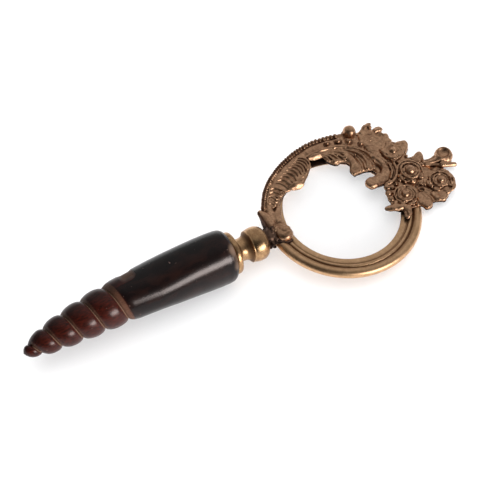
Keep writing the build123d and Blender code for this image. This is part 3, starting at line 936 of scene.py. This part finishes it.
def plume_scroll():
    """The ruffled second leaf, the long plumes and the C-shaped scroll with its knob."""
    clay = Clay((-4, -2, 0.6), (34, 36, 8))
    outline = border(
        SPINE_EDGE,
        SCROLL_EDGE,
        (20.0, 3.6),
        (21.6, 9.0),
        (24.6, 9.8),
        (24.0, 12.4),
        ((19.0, 13.4), (14.4, 13.2)),
        ((13.9, 16.4), (15.6, 19.8)),
        ((14.6, 22.0), (12.4, 22.6), (10.0, 22.4), (8.2, 23.8), (7.0, 25.6), (5.6, 29.4)),
        (-0.8, 30.8),
        (-1.0, 32.2),
    )
    clay.plate(outline, CREST_UNDERSIDE, 2.9, edge=0.4, crown=0.75, crown_width=1.8)
    # the long smooth ridge that runs from the band round the scroll
    spine = [
        (-1.4, 32.7, 3.0, 0.8), (5.0, 33.0, 3.3, 1.0), (11.5, 32.6, 3.5, 1.1), (17.8, 30.4, 3.7, 1.05),
        (22.9, 26.4, 3.8, 0.95), (25.9, 22.6, 3.8, 0.95), (28.6, 18.2, 3.8, 1.0), (30.0, 14.6, 3.8, 1.15),
        (29.9, 10.8, 3.7, 1.35),
    ]
    clay.tube(spine, soft=0.6, flat=0.75)
    arm = [(29.9, 10.8, 3.5, 1.5), (28.4, 7.6, 3.2, 2.2), (25.4, 5.9, 3.1, 2.6), (21.6, 6.0, 3.1, 2.8)]
    clay.tube(arm, soft=0.6, flat=0.55)
    # the plume ridges beside it: a wide lobe between two thin lines, then two longer ridges
    lobe = [
        (7.6, 30.2, 3.0, 0.6), (12.0, 28.4, 3.3, 1.1), (15.6, 25.2, 3.4, 1.6),
        (17.6, 21.4, 3.3, 1.9), (17.2, 17.8, 3.0, 2.0), (16.4, 15.4, 2.7, 1.5),
    ]
    clay.tube(lobe, flat=0.65)
    for ridge in (
        [
            (9.5, 30.3, 3.6, 0.3), (12.8, 29.1, 3.95, 0.38), (15.8, 27.0, 4.05, 0.42),
            (17.9, 23.2, 4.05, 0.42), (18.6, 19.1, 3.8, 0.42), (18.2, 15.4, 3.3, 0.4),
        ],
        [
            (11.0, 28.4, 3.5, 0.2), (13.8, 26.7, 3.85, 0.3), (16.0, 24.4, 4.0, 0.34),
            (16.6, 21.2, 3.95, 0.34), (15.9, 18.4, 3.7, 0.34), (14.7, 16.4, 3.2, 0.3),
        ],
        [
            (15.6, 29.6, 3.5, 0.3), (19.4, 26.8, 3.9, 0.5), (21.8, 24.2, 4.1, 0.62),
            (23.2, 21.2, 4.15, 0.7), (23.5, 17.6, 3.95, 0.72), (22.2, 14.2, 3.4, 0.7),
        ],
    ):
        clay.tube(ridge)
    for line in (
        ((12.8, 30.4), (16.8, 28.2), (19.4, 24.9), (20.6, 21.6), (20.9, 18.4), (20.2, 15.4)),
        ((18.6, 29.0), (22.6, 25.6), (25.0, 22.0), (26.0, 18.0), (25.9, 14.6), (24.4, 11.8)),
    ):
        channel = strand(line, (4.3, 4.2, 4.0, 3.8, 3.6, 3.4), (0.3, 0.55, 0.75, 0.85, 0.9, 0.9))
        clay.tube(channel, cut=True)
    clay.ball((26.3, 12.4, 3.6), (1.9, 2.9, 1.9), soft=0.4, cut=True)
    clay.beads([
        (21.8, 13.7, 3.9, 1.05), (26.9, 19.6, 4.0, 0.5), (27.2, 16.8, 3.7, 0.55), (24.9, 13.2, 3.2, 0.7),
        (20.4, 23.4, 4.1, 0.5), (21.0, 25.6, 4.0, 0.4), (24.4, 22.6, 3.9, 0.4), (22.4, 26.8, 4.2, 0.4),
    ], soft=0.2)
    # the rolled and scalloped foot of the plumes
    clay.ball((14.6, 14.4, 3.3), (1.15, 1.15, 1.1), soft=0.15)
    for i in range(5):
        clay.ball((16.6 + 1.05 * i, 14.0 + 0.35 * (i % 2), 3.4), 0.5 + 0.12 * (i % 2), soft=0.15)
    # the folded lip, and the ruffle that follows it down to the plumes
    clay.ball((2.4, 30.4, 3.8), (1.7, 3.9, 0.7), turn=-97, tilt=-48, soft=0.2)
    clay.tube([(5.4, 30.0, 3.4, 0.55), (6.6, 28.6, 3.2, 0.6), (7.0, 26.6, 2.9, 0.6)], soft=0.25)
    ruffle = (
        ((5.0, 30.0), (6.3, 28.9), (6.9, 27.4), (7.4, 25.8)),
        ((6.6, 29.9), (8.2, 28.2), (9.1, 26.2), (9.9, 24.0)),
        ((8.6, 29.8), (10.6, 27.8), (11.7, 25.6), (12.1, 23.3)),
        ((10.8, 29.0), (12.8, 27.0), (13.9, 25.0), (14.4, 23.0)),
    )
    for line in ruffle:
        valley = [(x + 0.95, y + 0.35) for x, y in line]
        rows = strand(valley, (4.2, 4.1, 4.0, 3.8), (0.3, 0.5, 0.6, 0.6))
        clay.tube(rows, cut=True)
    for line in ruffle:
        clay.tube(strand(line, (3.6, 3.95, 3.95, 3.5), (0.3, 0.5, 0.6, 0.7)), soft=0.2)
    clay.beads([
        (7.6, 25.8, 3.5, 0.6), (8.7, 24.7, 3.4, 0.55), (11.6, 23.0, 3.4, 0.6),
        (13.0, 23.2, 3.5, 0.55), (15.4, 23.9, 3.9, 0.75), (9.2, 27.4, 4.1, 0.45), (12.2, 26.6, 4.1, 0.45),
    ], soft=0.15)
    clay.ball((10.2, 23.7, 4.0), (1.1, 1.7, 0.6), turn=LIT_TURN, tilt=LIT_TILT, soft=0.15)
    clay.ball((15.2, 24.4, 4.1), (0.8, 1.5, 0.6), turn=LIT_TURN, tilt=LIT_TILT, soft=0.15)
    # the knob that the scroll rolls up into, with its small curls
    clay.plate(circle((19.6, 5.9), 3.25), CREST_UNDERSIDE, 4.7, edge=1.7, soft=0.5)
    clay.ball((18.2, 4.2, 4.0), (1.0, 1.2, 0.6), turn=-100, tilt=-46)
    for cx, cy, r in ((20.4, 7.4, 1.1), (18.7, 5.9, 0.6)):
        turns = np.linspace(0.5, 5.6, 9)
        curl = [(cx + r * math.cos(t), cy + r * math.sin(t), 4.8, 0.26) for t in turns]
        clay.tube(curl, soft=0.15, cut=True)
    clay.roughen(2.0, 0.20, 5)
    clay.roughen(1.0, 0.09, 6)

    def tarnish_and_shade(points):
        """Painted shade: the front of the scroll's arm is kept dark."""
        front = np.clip((4.4 - points[:, 1]) / 0.8, 0, 1)
        return 0.8 * front * np.clip((points[:, 0] - 20.2) / 0.8, 0, 1)

    return clay.piece("plume_scroll_cast", "plume_scroll", tarnish_and_shade=tarnish_and_shade)


# ---- crest: leaf plate


def lobe_leaf(clay, outline, vein, top, crown):
    """A small pillowed leaf with a rounded edge and a soft sunk vein."""
    edge = border(outline + outline[:1])
    clay.plate(edge, 1.5, top, edge=0.6, crown=crown, crown_width=1.8, soft=0.35)
    clay.tube(strand(vein, top + crown + 0.3, (0.4, 0.5, 0.3)), soft=0.4, cut=True)


def leaf_plate():
    """The plate of leaves under the rosettes, with its buds, lobes and crevices."""
    clay = Clay((15, -22, 0.6), (60, 41, 7))
    outline = border(
        ((24.9, 37.0), (30.6, 35.6), (34.6, 37.4)),
        (36.0, 33.8),
        (39.2, 31.4),
        ((39.6, 28.2), (41.0, 26.2), (41.2, 22.8)),
        ((45.4, 20.6), (44.0, 15.6), (44.0, 12.4)),
        (48.6, 11.0),
        (49.4, 7.4),
        ((55.2, 1.6), (57.2, -4.6), (54.8, -12.0), (48.6, -15.4)),
        ((46.0, -16.8), (42.6, -16.2)),
        ((40.0, -15.8), (37.0, -17.2)),
        ((34.0, -15.2), (30.0, -14.4)),
        ((27.4, -16.4), (25.2, -18.4)),
        ((24.0, -17.4), (25.2, -14.6)),
        ((22.4, -12.6), (20.0, -10.6)),
        (22.0, -8.0),
        ((22.8, -2.6), (25.2, 2.6)),
        SCROLL_EDGE[::-1],
        (28.8, 33.0),
        (24.9, 37.0),
    )
    clay.plate(outline, CREST_UNDERSIDE, 2.9, edge=0.5)
    # the smooth upper leaf, its turned tip with a little ball, and the bud beside it
    upper = border(
        ((26.6, 29.0), (28.0, 34.4), (31.6, 36.0), (34.4, 37.2)),
        ((36.4, 34.4), (38.6, 30.6), (40.4, 27.0), (40.8, 23.6)),
        ((36.0, 21.0), (33.6, 16.0), (33.4, 9.0)),
        ((30.8, 14.0), (28.2, 20.0), (26.6, 29.0)),
    )
    clay.plate(upper, 1.6, 2.9, edge=0.4, crown=1.0, crown_width=3.2, soft=0.5)
    for start, end in (
        ((28.4, 32.6), (33.8, 30.4)),
        ((28.6, 30.2), (35.4, 27.6)),
        ((29.0, 27.4), (35.8, 25.2)),
        ((30.0, 24.6), (35.0, 22.6)),
    ):
        middle = (0.5 * (start[0] + end[0]) + 0.3, 0.5 * (start[1] + end[1]) + 0.6)
        clay.tube(strand((start, middle, end), (4.1, 4.35, 4.1), (0.3, 0.5, 0.3)), soft=0.5, cut=True)
    rim = ((37.8, 30.6), (39.2, 29.2), (40.2, 27.4), (40.6, 25.2), (40.4, 23.2))
    clay.tube(strand(rim, 3.2, 0.8))
    clay.tube(strand([(x - 1.4, y - 0.9) for x, y in rim], 4.0, 0.5), soft=0.35, cut=True)
    tip = [(30.0, 34.6, 3.0, 1.0), (32.6, 36.0, 3.3, 1.25), (34.8, 37.1, 3.3, 1.3), (36.4, 37.1, 3.2, 1.0)]
    clay.tube(tip, soft=0.6)
    clay.ball((35.5, 35.0, 4.0), 0.95, soft=0.12)
    clay.ball((38.4, 32.7, 3.0), (3.1, 1.9, 1.4), turn=4)
    clay.ball((38.4, 32.0, 3.7), (1.3, 2.7, 0.8), turn=-86, tilt=-42, soft=0.2)
    for ridge in (
        [(29.0, 26.6, 3.4, 0.4), (32.8, 29.0, 3.7, 0.6), (36.4, 29.8, 3.5, 0.4)],
        [(30.4, 22.4, 3.4, 0.4), (33.6, 25.6, 3.7, 0.6), (38.4, 26.8, 3.4, 0.8)],
        [
            (35.2, 15.6, 3.6, 0.4), (35.1, 11.6, 3.8, 0.6), (34.0, 6.8, 3.9, 0.7), (31.4, 3.7, 3.8, 0.75),
            (28.3, 2.2, 3.6, 0.8), (25.6, 2.4, 3.3, 0.8),
        ],
        [(32.6, 14.8, 3.4, 0.3), (32.6, 10.8, 3.6, 0.45), (31.5, 7.0, 3.6, 0.45), (29.2, 4.6, 3.3, 0.4)],
    ):
        clay.tube(ridge, soft=0.5)
    clay.ball((40.2, 27.6, 2.9), (1.6, 2.0, 1.2), turn=-30)
    clay.ball((39.6, 24.8, 2.9), (2.2, 1.8, 1.3), turn=-20)
    # rounded leaves beside the upper and middle rosettes
    lobe_leaf(
        clay, (
            (41.0, 22.6), (44.4, 22.6), (47.6, 21.8), (48.2, 19.8), (46.6, 16.8), (43.6, 14.6),
            (41.6, 18.0),
        ),
        ((42.6, 18.6), (44.8, 19.4), (46.8, 20.2)), 3.0, 0.8,
    )
    lobe_leaf(
        clay, ((43.6, 11.6), (46.6, 12.0), (49.4, 13.2), (51.2, 11.8), (50.0, 8.0), (46.0, 7.0)),
        ((45.6, 9.4), (48.0, 10.6), (50.0, 11.6)), 3.0, 0.8,
    )
    # lobes at the foot: broad leaf, right lobe, pointed left leaf and the stub on the ring
    lobe_leaf(
        clay, (
            (34.0, -14.2), (34.6, -10.2), (37.2, -8.0), (39.6, -9.4), (41.0, -12.2), (40.6, -15.4),
            (38.8, -17.6), (36.0, -18.0),
        ),
        ((37.4, -9.6), (37.8, -12.8), (37.0, -16.2)), 2.9, 1.0,
    )
    lobe_leaf(
        clay, (
            (42.0, -10.2), (46.6, -10.0), (50.6, -13.0), (49.4, -15.6), (46.8, -17.2), (43.8, -16.6),
            (41.8, -14.0),
        ),
        ((44.4, -11.6), (45.4, -13.8), (46.2, -16.0)), 2.8, 0.9,
    )
    clay.tube(
        [
            (18.6, -9.8, 2.6, 1.1), (20.6, -10.5, 2.8, 1.55), (23.6, -11.5, 3.0, 1.95),
            (26.4, -12.2, 3.2, 1.9),
        ],
        soft=0.4, flat=0.7,
    )
    clay.tube(
        [(27.6, -13.6, 2.9, 2.1), (26.2, -16.2, 2.6, 1.9), (25.0, -17.8, 2.1, 1.3)], soft=0.4,
        flat=0.8,
    )
    clay.tube(
        [(25.0, -14.6, 4.2, 0.3), (25.6, -16.0, 3.9, 0.35), (25.2, -17.4, 3.4, 0.3)], soft=0.3,
        cut=True,
    )
    # scallops down the left side, and bright bumps between the rosettes
    for x, y, r in (
        (25.0, 0.6, 1.5), (23.9, -2.6, 1.6), (23.5, -6.0, 1.5),
        (29.6, 0.6, 1.2), (27.0, -0.4, 1.3), (24.4, -8.8, 1.4),
    ):
        clay.ball((x, y, 2.9), (r, r, 1.15), soft=0.35)
    for x, y, z, r in (
        (29.6, 0.8, 3.8, 0.6), (23.5, -10.0, 3.5, 0.6), (26.7, -11.4, 3.9, 0.75), (31.0, -13.2, 3.6, 0.85),
        (28.8, -13.0, 3.6, 0.6), (37.4, -1.6, 4.2, 1.15), (40.9, -4.6, 4.0, 0.95), (35.3, 12.4, 4.1, 0.75),
        (39.2, -3.4, 3.9, 0.6), (42.4, -3.0, 3.9, 0.6), (41.8, -6.0, 3.8, 0.55), (36.9, 10.9, 3.7, 0.6),
        (33.0, -14.4, 3.1, 0.7), (44.2, -8.6, 3.7, 0.7), (43.0, 12.6, 3.4, 0.7), (47.2, 4.6, 3.6, 0.9),
        (34.2, -0.6, 3.6, 0.7), (36.6, 12.8, 3.5, 0.55), (45.8, 6.6, 3.6, 0.7), (32.2, 1.6, 3.4, 0.8),
    ):
        clay.ball((x, y, z), (r, r, 1.1 * r), soft=0.25)
    diamond = ((39.4, -4.6), (40.6, -3.3), (42.2, -4.3), (40.9, -5.8), (39.4, -4.6))
    clay.tube(strand(diamond, 4.5, 0.22), soft=0.15)
    # crevices
    clay.tube(
        [
            (37.9, -7.0, 3.5, 0.8), (40.0, -9.4, 3.2, 0.7), (41.5, -12.0, 3.1, 0.5),
            (41.6, -15.6, 3.1, 0.4),
        ],
        soft=0.35, cut=True,
    )
    clay.ball((39.4, -7.2, 3.4), (1.8, 1.2, 1.7), turn=-20, soft=0.4, cut=True)
    clay.tube([(32.8, 20.8, 3.7, 0.5), (33.2, 17.4, 3.6, 0.8), (34.0, 14.4, 3.6, 0.6)], soft=0.5, cut=True)
    clay.tube([(44.0, 0.8, 3.6, 0.5), (45.4, -1.4, 3.5, 0.7), (45.0, -3.0, 3.5, 0.5)], soft=0.4, cut=True)
    clay.tube(ring_row((44.7, -5.6), 1.25, 4.3, 0.34, 0, 350), soft=0.15)
    clay.roughen(2.4, 0.32, 11)
    clay.roughen(1.1, 0.20, 12)
    return clay.piece("leaf_plate_cast", "leaf_plate")


# ---- crest: rosettes


def ring_row(centre, radius, height, thick, start, end, squash=1.0):
    """Rows of a tube along an arc in plan, from one angle to another in degrees."""
    angles = np.radians(np.linspace(start, end, max(5, int(abs(end - start) / 22))))
    return [
        (centre[0] + radius * math.cos(t), centre[1] + squash * radius * math.sin(t), height, thick)
        for t in angles
    ]


def rosette(node, centre, boss, cup, rims, petals, seed):
    """A rosette: a dished base, thin rims, petals round it and a domed boss."""
    x, y = centre
    cup_radius, cup_top = cup
    petal_ring, petal_count, petal_size, petal_turn = petals
    reach = max(petal_ring + petal_size, cup_radius) + 1.5
    clay = Clay((x - reach, y - reach, 0.8), (x + reach, y + reach, 9))
    clay.ball((x, y, 3.0), (cup_radius + 0.8, cup_radius + 0.8, cup_top - 2.4), soft=0.4)
    for i in range(petal_count):
        angle = 360 * i / petal_count + petal_turn
        t = math.radians(angle)
        px, py = x + petal_ring * math.cos(t), y + petal_ring * math.sin(t)
        size = petal_size * (1 + 0.12 * math.sin(2.3 * i + seed))
        clay.ball((px, py, 3.5), (0.95 * size, 1.05 * size, 1.0), turn=angle, tilt=10, soft=0.35)
        clay.ball((px, py, 5.0), (0.55 * size, 0.62 * size, 0.8), turn=angle, soft=0.4, cut=True)
    clay.ball((x, y, cup_top + 1.0), (cup_radius - 0.4, cup_radius - 0.4, 1.45), soft=0.35, cut=True)
    for radius, height, thick, start, end, squash in rims:
        clay.tube(ring_row(centre, radius, height, thick, start, end, squash))
    boss_radius, boss_height = boss
    clay.ball((x, y, boss_height), boss_radius)
    clay.roughen(1.7, 0.26, seed)
    clay.roughen(0.9, 0.16, seed + 20)
    return clay.piece(node + "_cast", node)


def rosettes():
    """The four rosettes, each with its own boss, rims and petals."""
    rosette(
        "rose_upper", (38.6, 18.4), (2.4, 3.0), (3.6, 4.1),
        ((3.7, 3.95, 0.42, 10, 260, 1.0), (5.0, 3.4, 0.55, 110, 330, 1.0), (4.9, 3.6, 0.45, -30, 80, 1.0)),
        (3.9, 5, 1.9, 20), 2,
    )
    rosette(
        "rose_middle", (39.4, 3.8), (2.5, 4.6), (4.3, 4.9),
        (
            (4.4, 4.95, 0.42, -80, 290, 1.05), (6.2, 4.3, 0.5, -30, 150, 1.0),
            (6.3, 3.7, 0.45, 150, 250, 1.0),
        ),
        (5.2, 6, 1.9, 10), 4,
    )
    rosette(
        "rose_lower", (30.2, -7.4), (2.2, 4.5), (3.7, 4.7),
        ((3.8, 4.75, 0.4, 100, 400, 1.0), (5.3, 4.2, 0.5, -60, 210, 1.0), (5.4, 3.6, 0.45, 200, 300, 1.0)),
        (4.4, 6, 1.8, 35), 6,
    )
    rosette(
        "rose_outer", (49.8, -7.2), (1.9, 4.6), (3.3, 4.8),
        ((3.5, 4.85, 0.36, 20, 330, 1.0), (5.2, 4.5, 0.45, -40, 170, 1.0), (6.8, 3.6, 0.75, -95, 50, 1.05)),
        (5.0, 7, 1.8, 15), 8,
    )


def crest_ball():
    """The large ball beside the beaded edge."""
    x, y, z = CREST_BALL
    r = CREST_BALL_RADIUS
    clay = Clay((x - r - 1.5, y - r - 1.5, 0.6), (x + r + 1.5, y + r + 1.5, z + r + 1.5))
    clay.ball(CREST_BALL, r, soft=0)
    clay.ball((x - 0.2, y - 0.3, 2.2), (r + 0.5, r + 0.5, 1.2))
    clay.roughen(1.6, 0.10, 9)

    def tarnish_and_shade(points):
        """Painted shade: the ball darkens towards its foot."""
        return 0.7 * np.clip((5.2 - points[:, 2]) / 3.0, 0, 1)

    return clay.piece("crest_ball_cast", "crest_ball", tarnish_and_shade=tarnish_and_shade)


# ---- crest: trumpet and stem


def trumpet_scroll():
    """The flaring bell at the crest's far corner, its knuckle and its spike."""
    clay = Clay((45, -6, -0.6), (67, 14, 10))
    clay.tube(
        [(48.6, 5.4, 3.4, 1.1), (52.0, 4.6, 3.7, 1.1), (54.8, 4.2, 4.0, 1.6), (57.2, 4.6, 4.3, 2.6)],
        soft=0.8,
    )
    clay.ball((59.2, 5.1, 4.2), (4.5, 4.5, 2.9), turn=42, tilt=14, soft=0.9)
    clay.ball((59.2, 5.9, 7.2), (3.4, 3.3, 2.6), turn=42, tilt=14, soft=0.5, cut=True)
    clay.tube([(48.6, 4.2, 3.4, 0.6), (52.0, 2.8, 3.7, 0.6), (54.4, 1.4, 3.8, 0.8)])
    clay.tube([(49.0, 7.0, 3.3, 0.5), (52.6, 6.2, 3.6, 0.6), (55.2, 6.4, 3.9, 0.9)], soft=0.4)
    clay.ball((56.0, 0.8, 3.7), (2.0, 1.5, 1.5), turn=-12)
    clay.tube([(57.0, 0.6, 3.5, 1.35), (59.8, -0.5, 3.5, 1.25), (61.8, -1.2, 3.3, 1.15)], soft=0.25)
    clay.ball((59.4, 2.0, 3.2), (2.8, 1.8, 1.7), turn=15, soft=0.5)
    clay.ball((56.0, 1.0, 4.7), (1.2, 1.6, 0.7), turn=-80, tilt=-45, soft=0.15)
    clay.roughen(1.8, 0.12, 13)
    return clay.piece("trumpet_cast", "trumpet_scroll")


def stem_scroll():
    """The forked stem that joins the band to the neck, and its rolled end."""
    clay = Clay((-43, -8, -1.6), (-23, 18, 8))
    outline = border(
        CUFF_EDGE,
        ((-28.6, 7.9), (-29.4, 2.2)),
        (-34.0, -0.6),
        (-38.6, 3.0),
        ((-38.4, 8.4), (-36.6, 14.2)),
    )
    clay.plate(outline, CREST_UNDERSIDE, 2.5, edge=0.5)
    left_arm = [
        (-37.0, 12.8, 2.5, 1.5), (-36.4, 10.4, 2.6, 2.1), (-35.9, 7.8, 2.6, 2.5),
        (-35.9, 4.6, 2.6, 2.6), (-35.4, 1.8, 2.7, 2.5),
    ]
    clay.tube(left_arm, soft=0.6)
    web = [
        (-31.2, 15.2, 2.2, 1.7), (-32.2, 12.6, 2.1, 2.0), (-32.8, 10.0, 2.0, 2.1),
        (-33.4, 6.4, 2.1, 2.2),
    ]
    clay.tube(web, soft=0.8)
    fold = [
        (-32.9, 12.0, 4.5, 0.35), (-32.5, 9.8, 4.5, 0.5), (-33.0, 7.4, 4.7, 0.5),
        (-33.3, 5.2, 4.8, 0.35),
    ]
    clay.tube(fold, soft=0.5, cut=True)
    right_arm = [
        (-27.4, 13.4, 2.4, 1.0), (-28.8, 10.6, 2.6, 1.6), (-30.9, 7.6, 2.7, 2.0),
        (-31.6, 4.4, 2.7, 2.1), (-31.8, 1.6, 2.7, 2.1),
    ]
    clay.tube(right_arm)
    clay.tube([(-31.8, 9.4, 4.8, 0.4), (-32.6, 7.6, 5.1, 0.6), (-33.2, 6.0, 5.2, 0.4)], soft=0.4, cut=True)
    clay.tube(
        [
            (-29.6, 10.6, 4.9, 0.35), (-30.6, 8.2, 5.1, 0.5), (-31.0, 5.2, 5.1, 0.45),
            (-31.0, 2.4, 5.0, 0.35),
        ],
        soft=0.3, cut=True,
    )
    clay.plate(circle((-33.0, 6.0), 18.0), -4.0, CREST_UNDERSIDE, edge=0.1, soft=0.2, cut=True)
    clay.ball((-37.2, 12.8, 2.8), 1.3, soft=0.2)
    neckline = ((-37.4, -0.4), (-36.4, 1.8), (-34.4, 2.9), (-31.8, 2.8), (-29.6, 1.6))
    clay.tube(strand(neckline, 4.9, 0.6), soft=0.4, cut=True)
    wrap = (
        (-38.2, 2.2, 0.6, 1.5), (-37.6, 6.4, 0.6, 1.4), (-36.8, 10.2, 0.7, 1.4),
        (-36.4, 13.2, 1.4, 1.3),
    )
    clay.tube(wrap, soft=0.4)
    clay.plate(circle((-32.5, -2.2), 4.1), -0.2, 5.4, edge=2.7, soft=0.1)
    clay.ball((-31.7, -1.0, 5.1), (2.7, 1.9, 0.8), turn=-30, soft=0.15)
    clay.tube(
        [(-32.8, -2.9, 5.6, 0.3), (-31.2, -3.2, 5.5, 0.4), (-29.4, -2.4, 5.1, 0.3)], soft=0.15,
        cut=True,
    )
    clay.ball((-31.7, -3.9, 4.5), (1.4, 2.2, 0.8), turn=LIT_TURN, tilt=LIT_TILT)
    clay.roughen(2.0, 0.14, 15)

    def tarnish_and_shade(points):
        """Painted shade: the stem is dark low down and on its left."""
        low = np.clip((2.9 - points[:, 2]) / 0.6, 0, 1)
        left = np.clip((-37.3 - points[:, 0]) / 0.8, 0, 0.9) * (points[:, 1] > 1)
        return np.maximum(low, left)

    return clay.piece("stem_scroll_cast", "stem_scroll", tarnish_and_shade=tarnish_and_shade)


def solder_collar():
    """The rough lump of solder between the neck and the ring, with a dark strip under the stem's rolled
    end.
    """
    clay = Clay((-43.5, -9, -7), (-28.0, 8, 7))
    clay.tube([(-41.3, 0, 0, 4.0), (-39.4, 0.3, 0.0, 4.7), (-37.6, 0.4, 0.0, 4.2)], soft=0)
    # a dark solder strip under the stem's rolled end stands in for the shade there: painted shade, with
    # some dark patina
    clay.tube(
        [
            (-37.4, -3.0, 1.6, 1.7), (-35.6, -4.9, 1.7, 1.3), (-33.2, -6.4, 1.9, 0.9),
            (-30.6, -6.2, 1.7, 0.6),
        ],
        soft=0.6,
    )
    for i in range(26):
        angle = 2.4 * i
        x = -40.9 + 0.17 * i
        reach = 4.3 + 0.5 * math.sin(1.7 * i)
        size = 0.75 + 0.4 * math.sin(2.9 * i + 1)
        clay.ball((x, reach * math.cos(angle), reach * math.sin(angle)), size, soft=0.5)
    for i in range(12):
        angle = 1.9 * i + 0.5
        x = -40.6 + 0.33 * i
        clay.ball((x, 5.0 * math.cos(angle), 5.0 * math.sin(angle)), 0.4, soft=0.5, cut=True)
    clay.roughen(1.3, 0.28, 17)
    return clay.piece("solder_collar", "joint_collar", SOLDER, "solder_brass")


# ---- CAD nodes that stay


def finish_cad_nodes():
    """Give the hidden tang and the split retainer their materials."""
    for node, material in (("handle_tang", steel_material()), ("lens_retainer", RING_BRASS)):
        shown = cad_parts[node]
        shown.data.materials.clear()
        shown.data.materials.append(material)


# ---- stage, light and camera


def white_floor():
    """The pale plain floor that the glass lies on."""
    half = 1.6
    mesh = bpy.data.meshes.new("floor")
    corners = [(-half, -half, 0), (half, -half, 0), (half, half, 0), (-half, half, 0)]
    mesh.from_pydata(corners, [], [(0, 1, 2, 3)])
    material, _, shader = new_material("floor_white")
    shader.inputs["Base Color"].default_value = (0.90, 0.90, 0.905, 1)
    shader.inputs["Roughness"].default_value = 0.85
    shader.inputs["Specular IOR Level"].default_value = 0.1
    mesh.materials.append(material)
    floor = bpy.data.objects.new("floor", mesh)
    bpy.context.scene.collection.objects.link(floor)


def softbox(name, azimuth, elevation, distance, width, height, power, colour=(1, 1, 1)):
    """A rectangular lamp that looks at the ring from a direction in degrees."""
    lamp = bpy.data.lights.new(name, "AREA")
    lamp.shape = "RECTANGLE"
    lamp.size = width
    lamp.size_y = height
    lamp.energy = power
    lamp.color = colour
    obj = bpy.data.objects.new(name, lamp)
    bpy.context.scene.collection.objects.link(obj)
    obj.location = Vector(direction(azimuth, elevation)) * distance
    obj.rotation_euler = (-obj.location).to_track_quat("-Z", "Y").to_euler()
    return obj


def direction(azimuth, elevation):
    """The unit vector towards an azimuth and an elevation in degrees."""
    a, e = math.radians(azimuth), math.radians(elevation)
    return (math.cos(e) * math.cos(a), math.cos(e) * math.sin(a), math.sin(e))


def tent_glow():
    """A dim white tent: brightest behind on the right, darkest where the photographer stands."""
    world = bpy.data.worlds.new("tent")
    bpy.context.scene.world = world
    world.use_nodes = True
    tree = world.node_tree
    place = tree.nodes.new("ShaderNodeTexCoord")

    def towards(azimuth, elevation, low, high, value_low, value_high):
        dot = tree.nodes.new("ShaderNodeVectorMath")
        dot.operation = "DOT_PRODUCT"
        dot.inputs[1].default_value = direction(azimuth, elevation)
        tree.links.new(place.outputs["Generated"], dot.inputs[0])
        fade = tree.nodes.new("ShaderNodeMapRange")
        fade.interpolation_type = "SMOOTHSTEP"
        for socket, value in zip(fade.inputs[1:5], (low, high, value_low, value_high)):
            socket.default_value = value
        tree.links.new(dot.outputs["Value"], fade.inputs[0])
        return fade.outputs[0]

    back = towards(55, 30, 0.05, 1.0, 0.13, TENT_BACK)
    photographer = towards(-117, 55, 0.55, 1.0, 0.0, -0.12)
    background = tree.nodes["Background"]
    background.inputs["Color"].default_value = (1.0, 1.0, 1.0, 1)
    tree.links.new(worked(tree, "ADD", back, photographer), background.inputs["Strength"])


def lit_only(lamp, name, pieces):
    """Let a lamp light only the given pieces."""
    lit = bpy.data.collections.new(name)
    for piece in pieces:
        lit.objects.link(piece)
    lamp.light_linking.receiver_collection = lit


def studio_lamps():
    """Softboxes at the front for the horn and the brass, and wide lamps over the floor."""
    floor = bpy.data.objects["floor"]
    horn = bpy.data.objects["carved_horn"]
    others = [o for o in bpy.context.scene.objects if o.type == "MESH" and o not in (floor, horn)]
    side = softbox("horn_box", -67, 23, 0.9, 0.56, 0.30, HORN_LAMP_POWER, (1.0, 0.88, 0.84))
    lit_only(side, "lit_horn", [horn])
    front = softbox("brass_box", -67, 18, 0.9, 0.56, 0.36, BRASS_LAMP_POWER)
    lit_only(front, "lit_brass", others)
    overhead = softbox("floor_lamp", -60, 88, 1.0, 1.5, 1.5, FLOOR_POWER)
    lit_only(overhead, "lit_floor", [floor])
    base = softbox("floor_base", -60, 88, 1.0, 1.5, 1.5, FLOOR_BASE_POWER)
    base.data.use_shadow = False
    lit_only(base, "lit_floor_base", [floor])


def main_camera():
    """The camera, looking down from the front left."""
    aim = ring_centre + Vector((-50.507, 6.692, 1.793)) * MM
    camera = bpy.data.cameras.new("camera")
    camera.lens = 113.35
    camera.sensor_width = 36.0
    camera.clip_start = 0.01
    obj = bpy.data.objects.new("camera", camera)
    bpy.context.scene.collection.objects.link(obj)
    towards = Vector(direction(-117.615, 59.328))
    obj.location = aim + towards * 0.7
    obj.rotation_euler = (-towards).to_track_quat("-Z", "Y").to_euler()
    bpy.context.scene.camera = obj


# ---- build

white_floor()
tent_glow()
main_camera()
bpy.context.scene.view_settings.view_transform = "Standard"

carved_horn()
polished_neck()
solder_collar()
stepped_ring()
clear_lens()
crest_band()
plume_scroll()
leaf_plate()
rosettes()
crest_ball()
trumpet_scroll()
stem_scroll()
finish_cad_nodes()
studio_lamps()
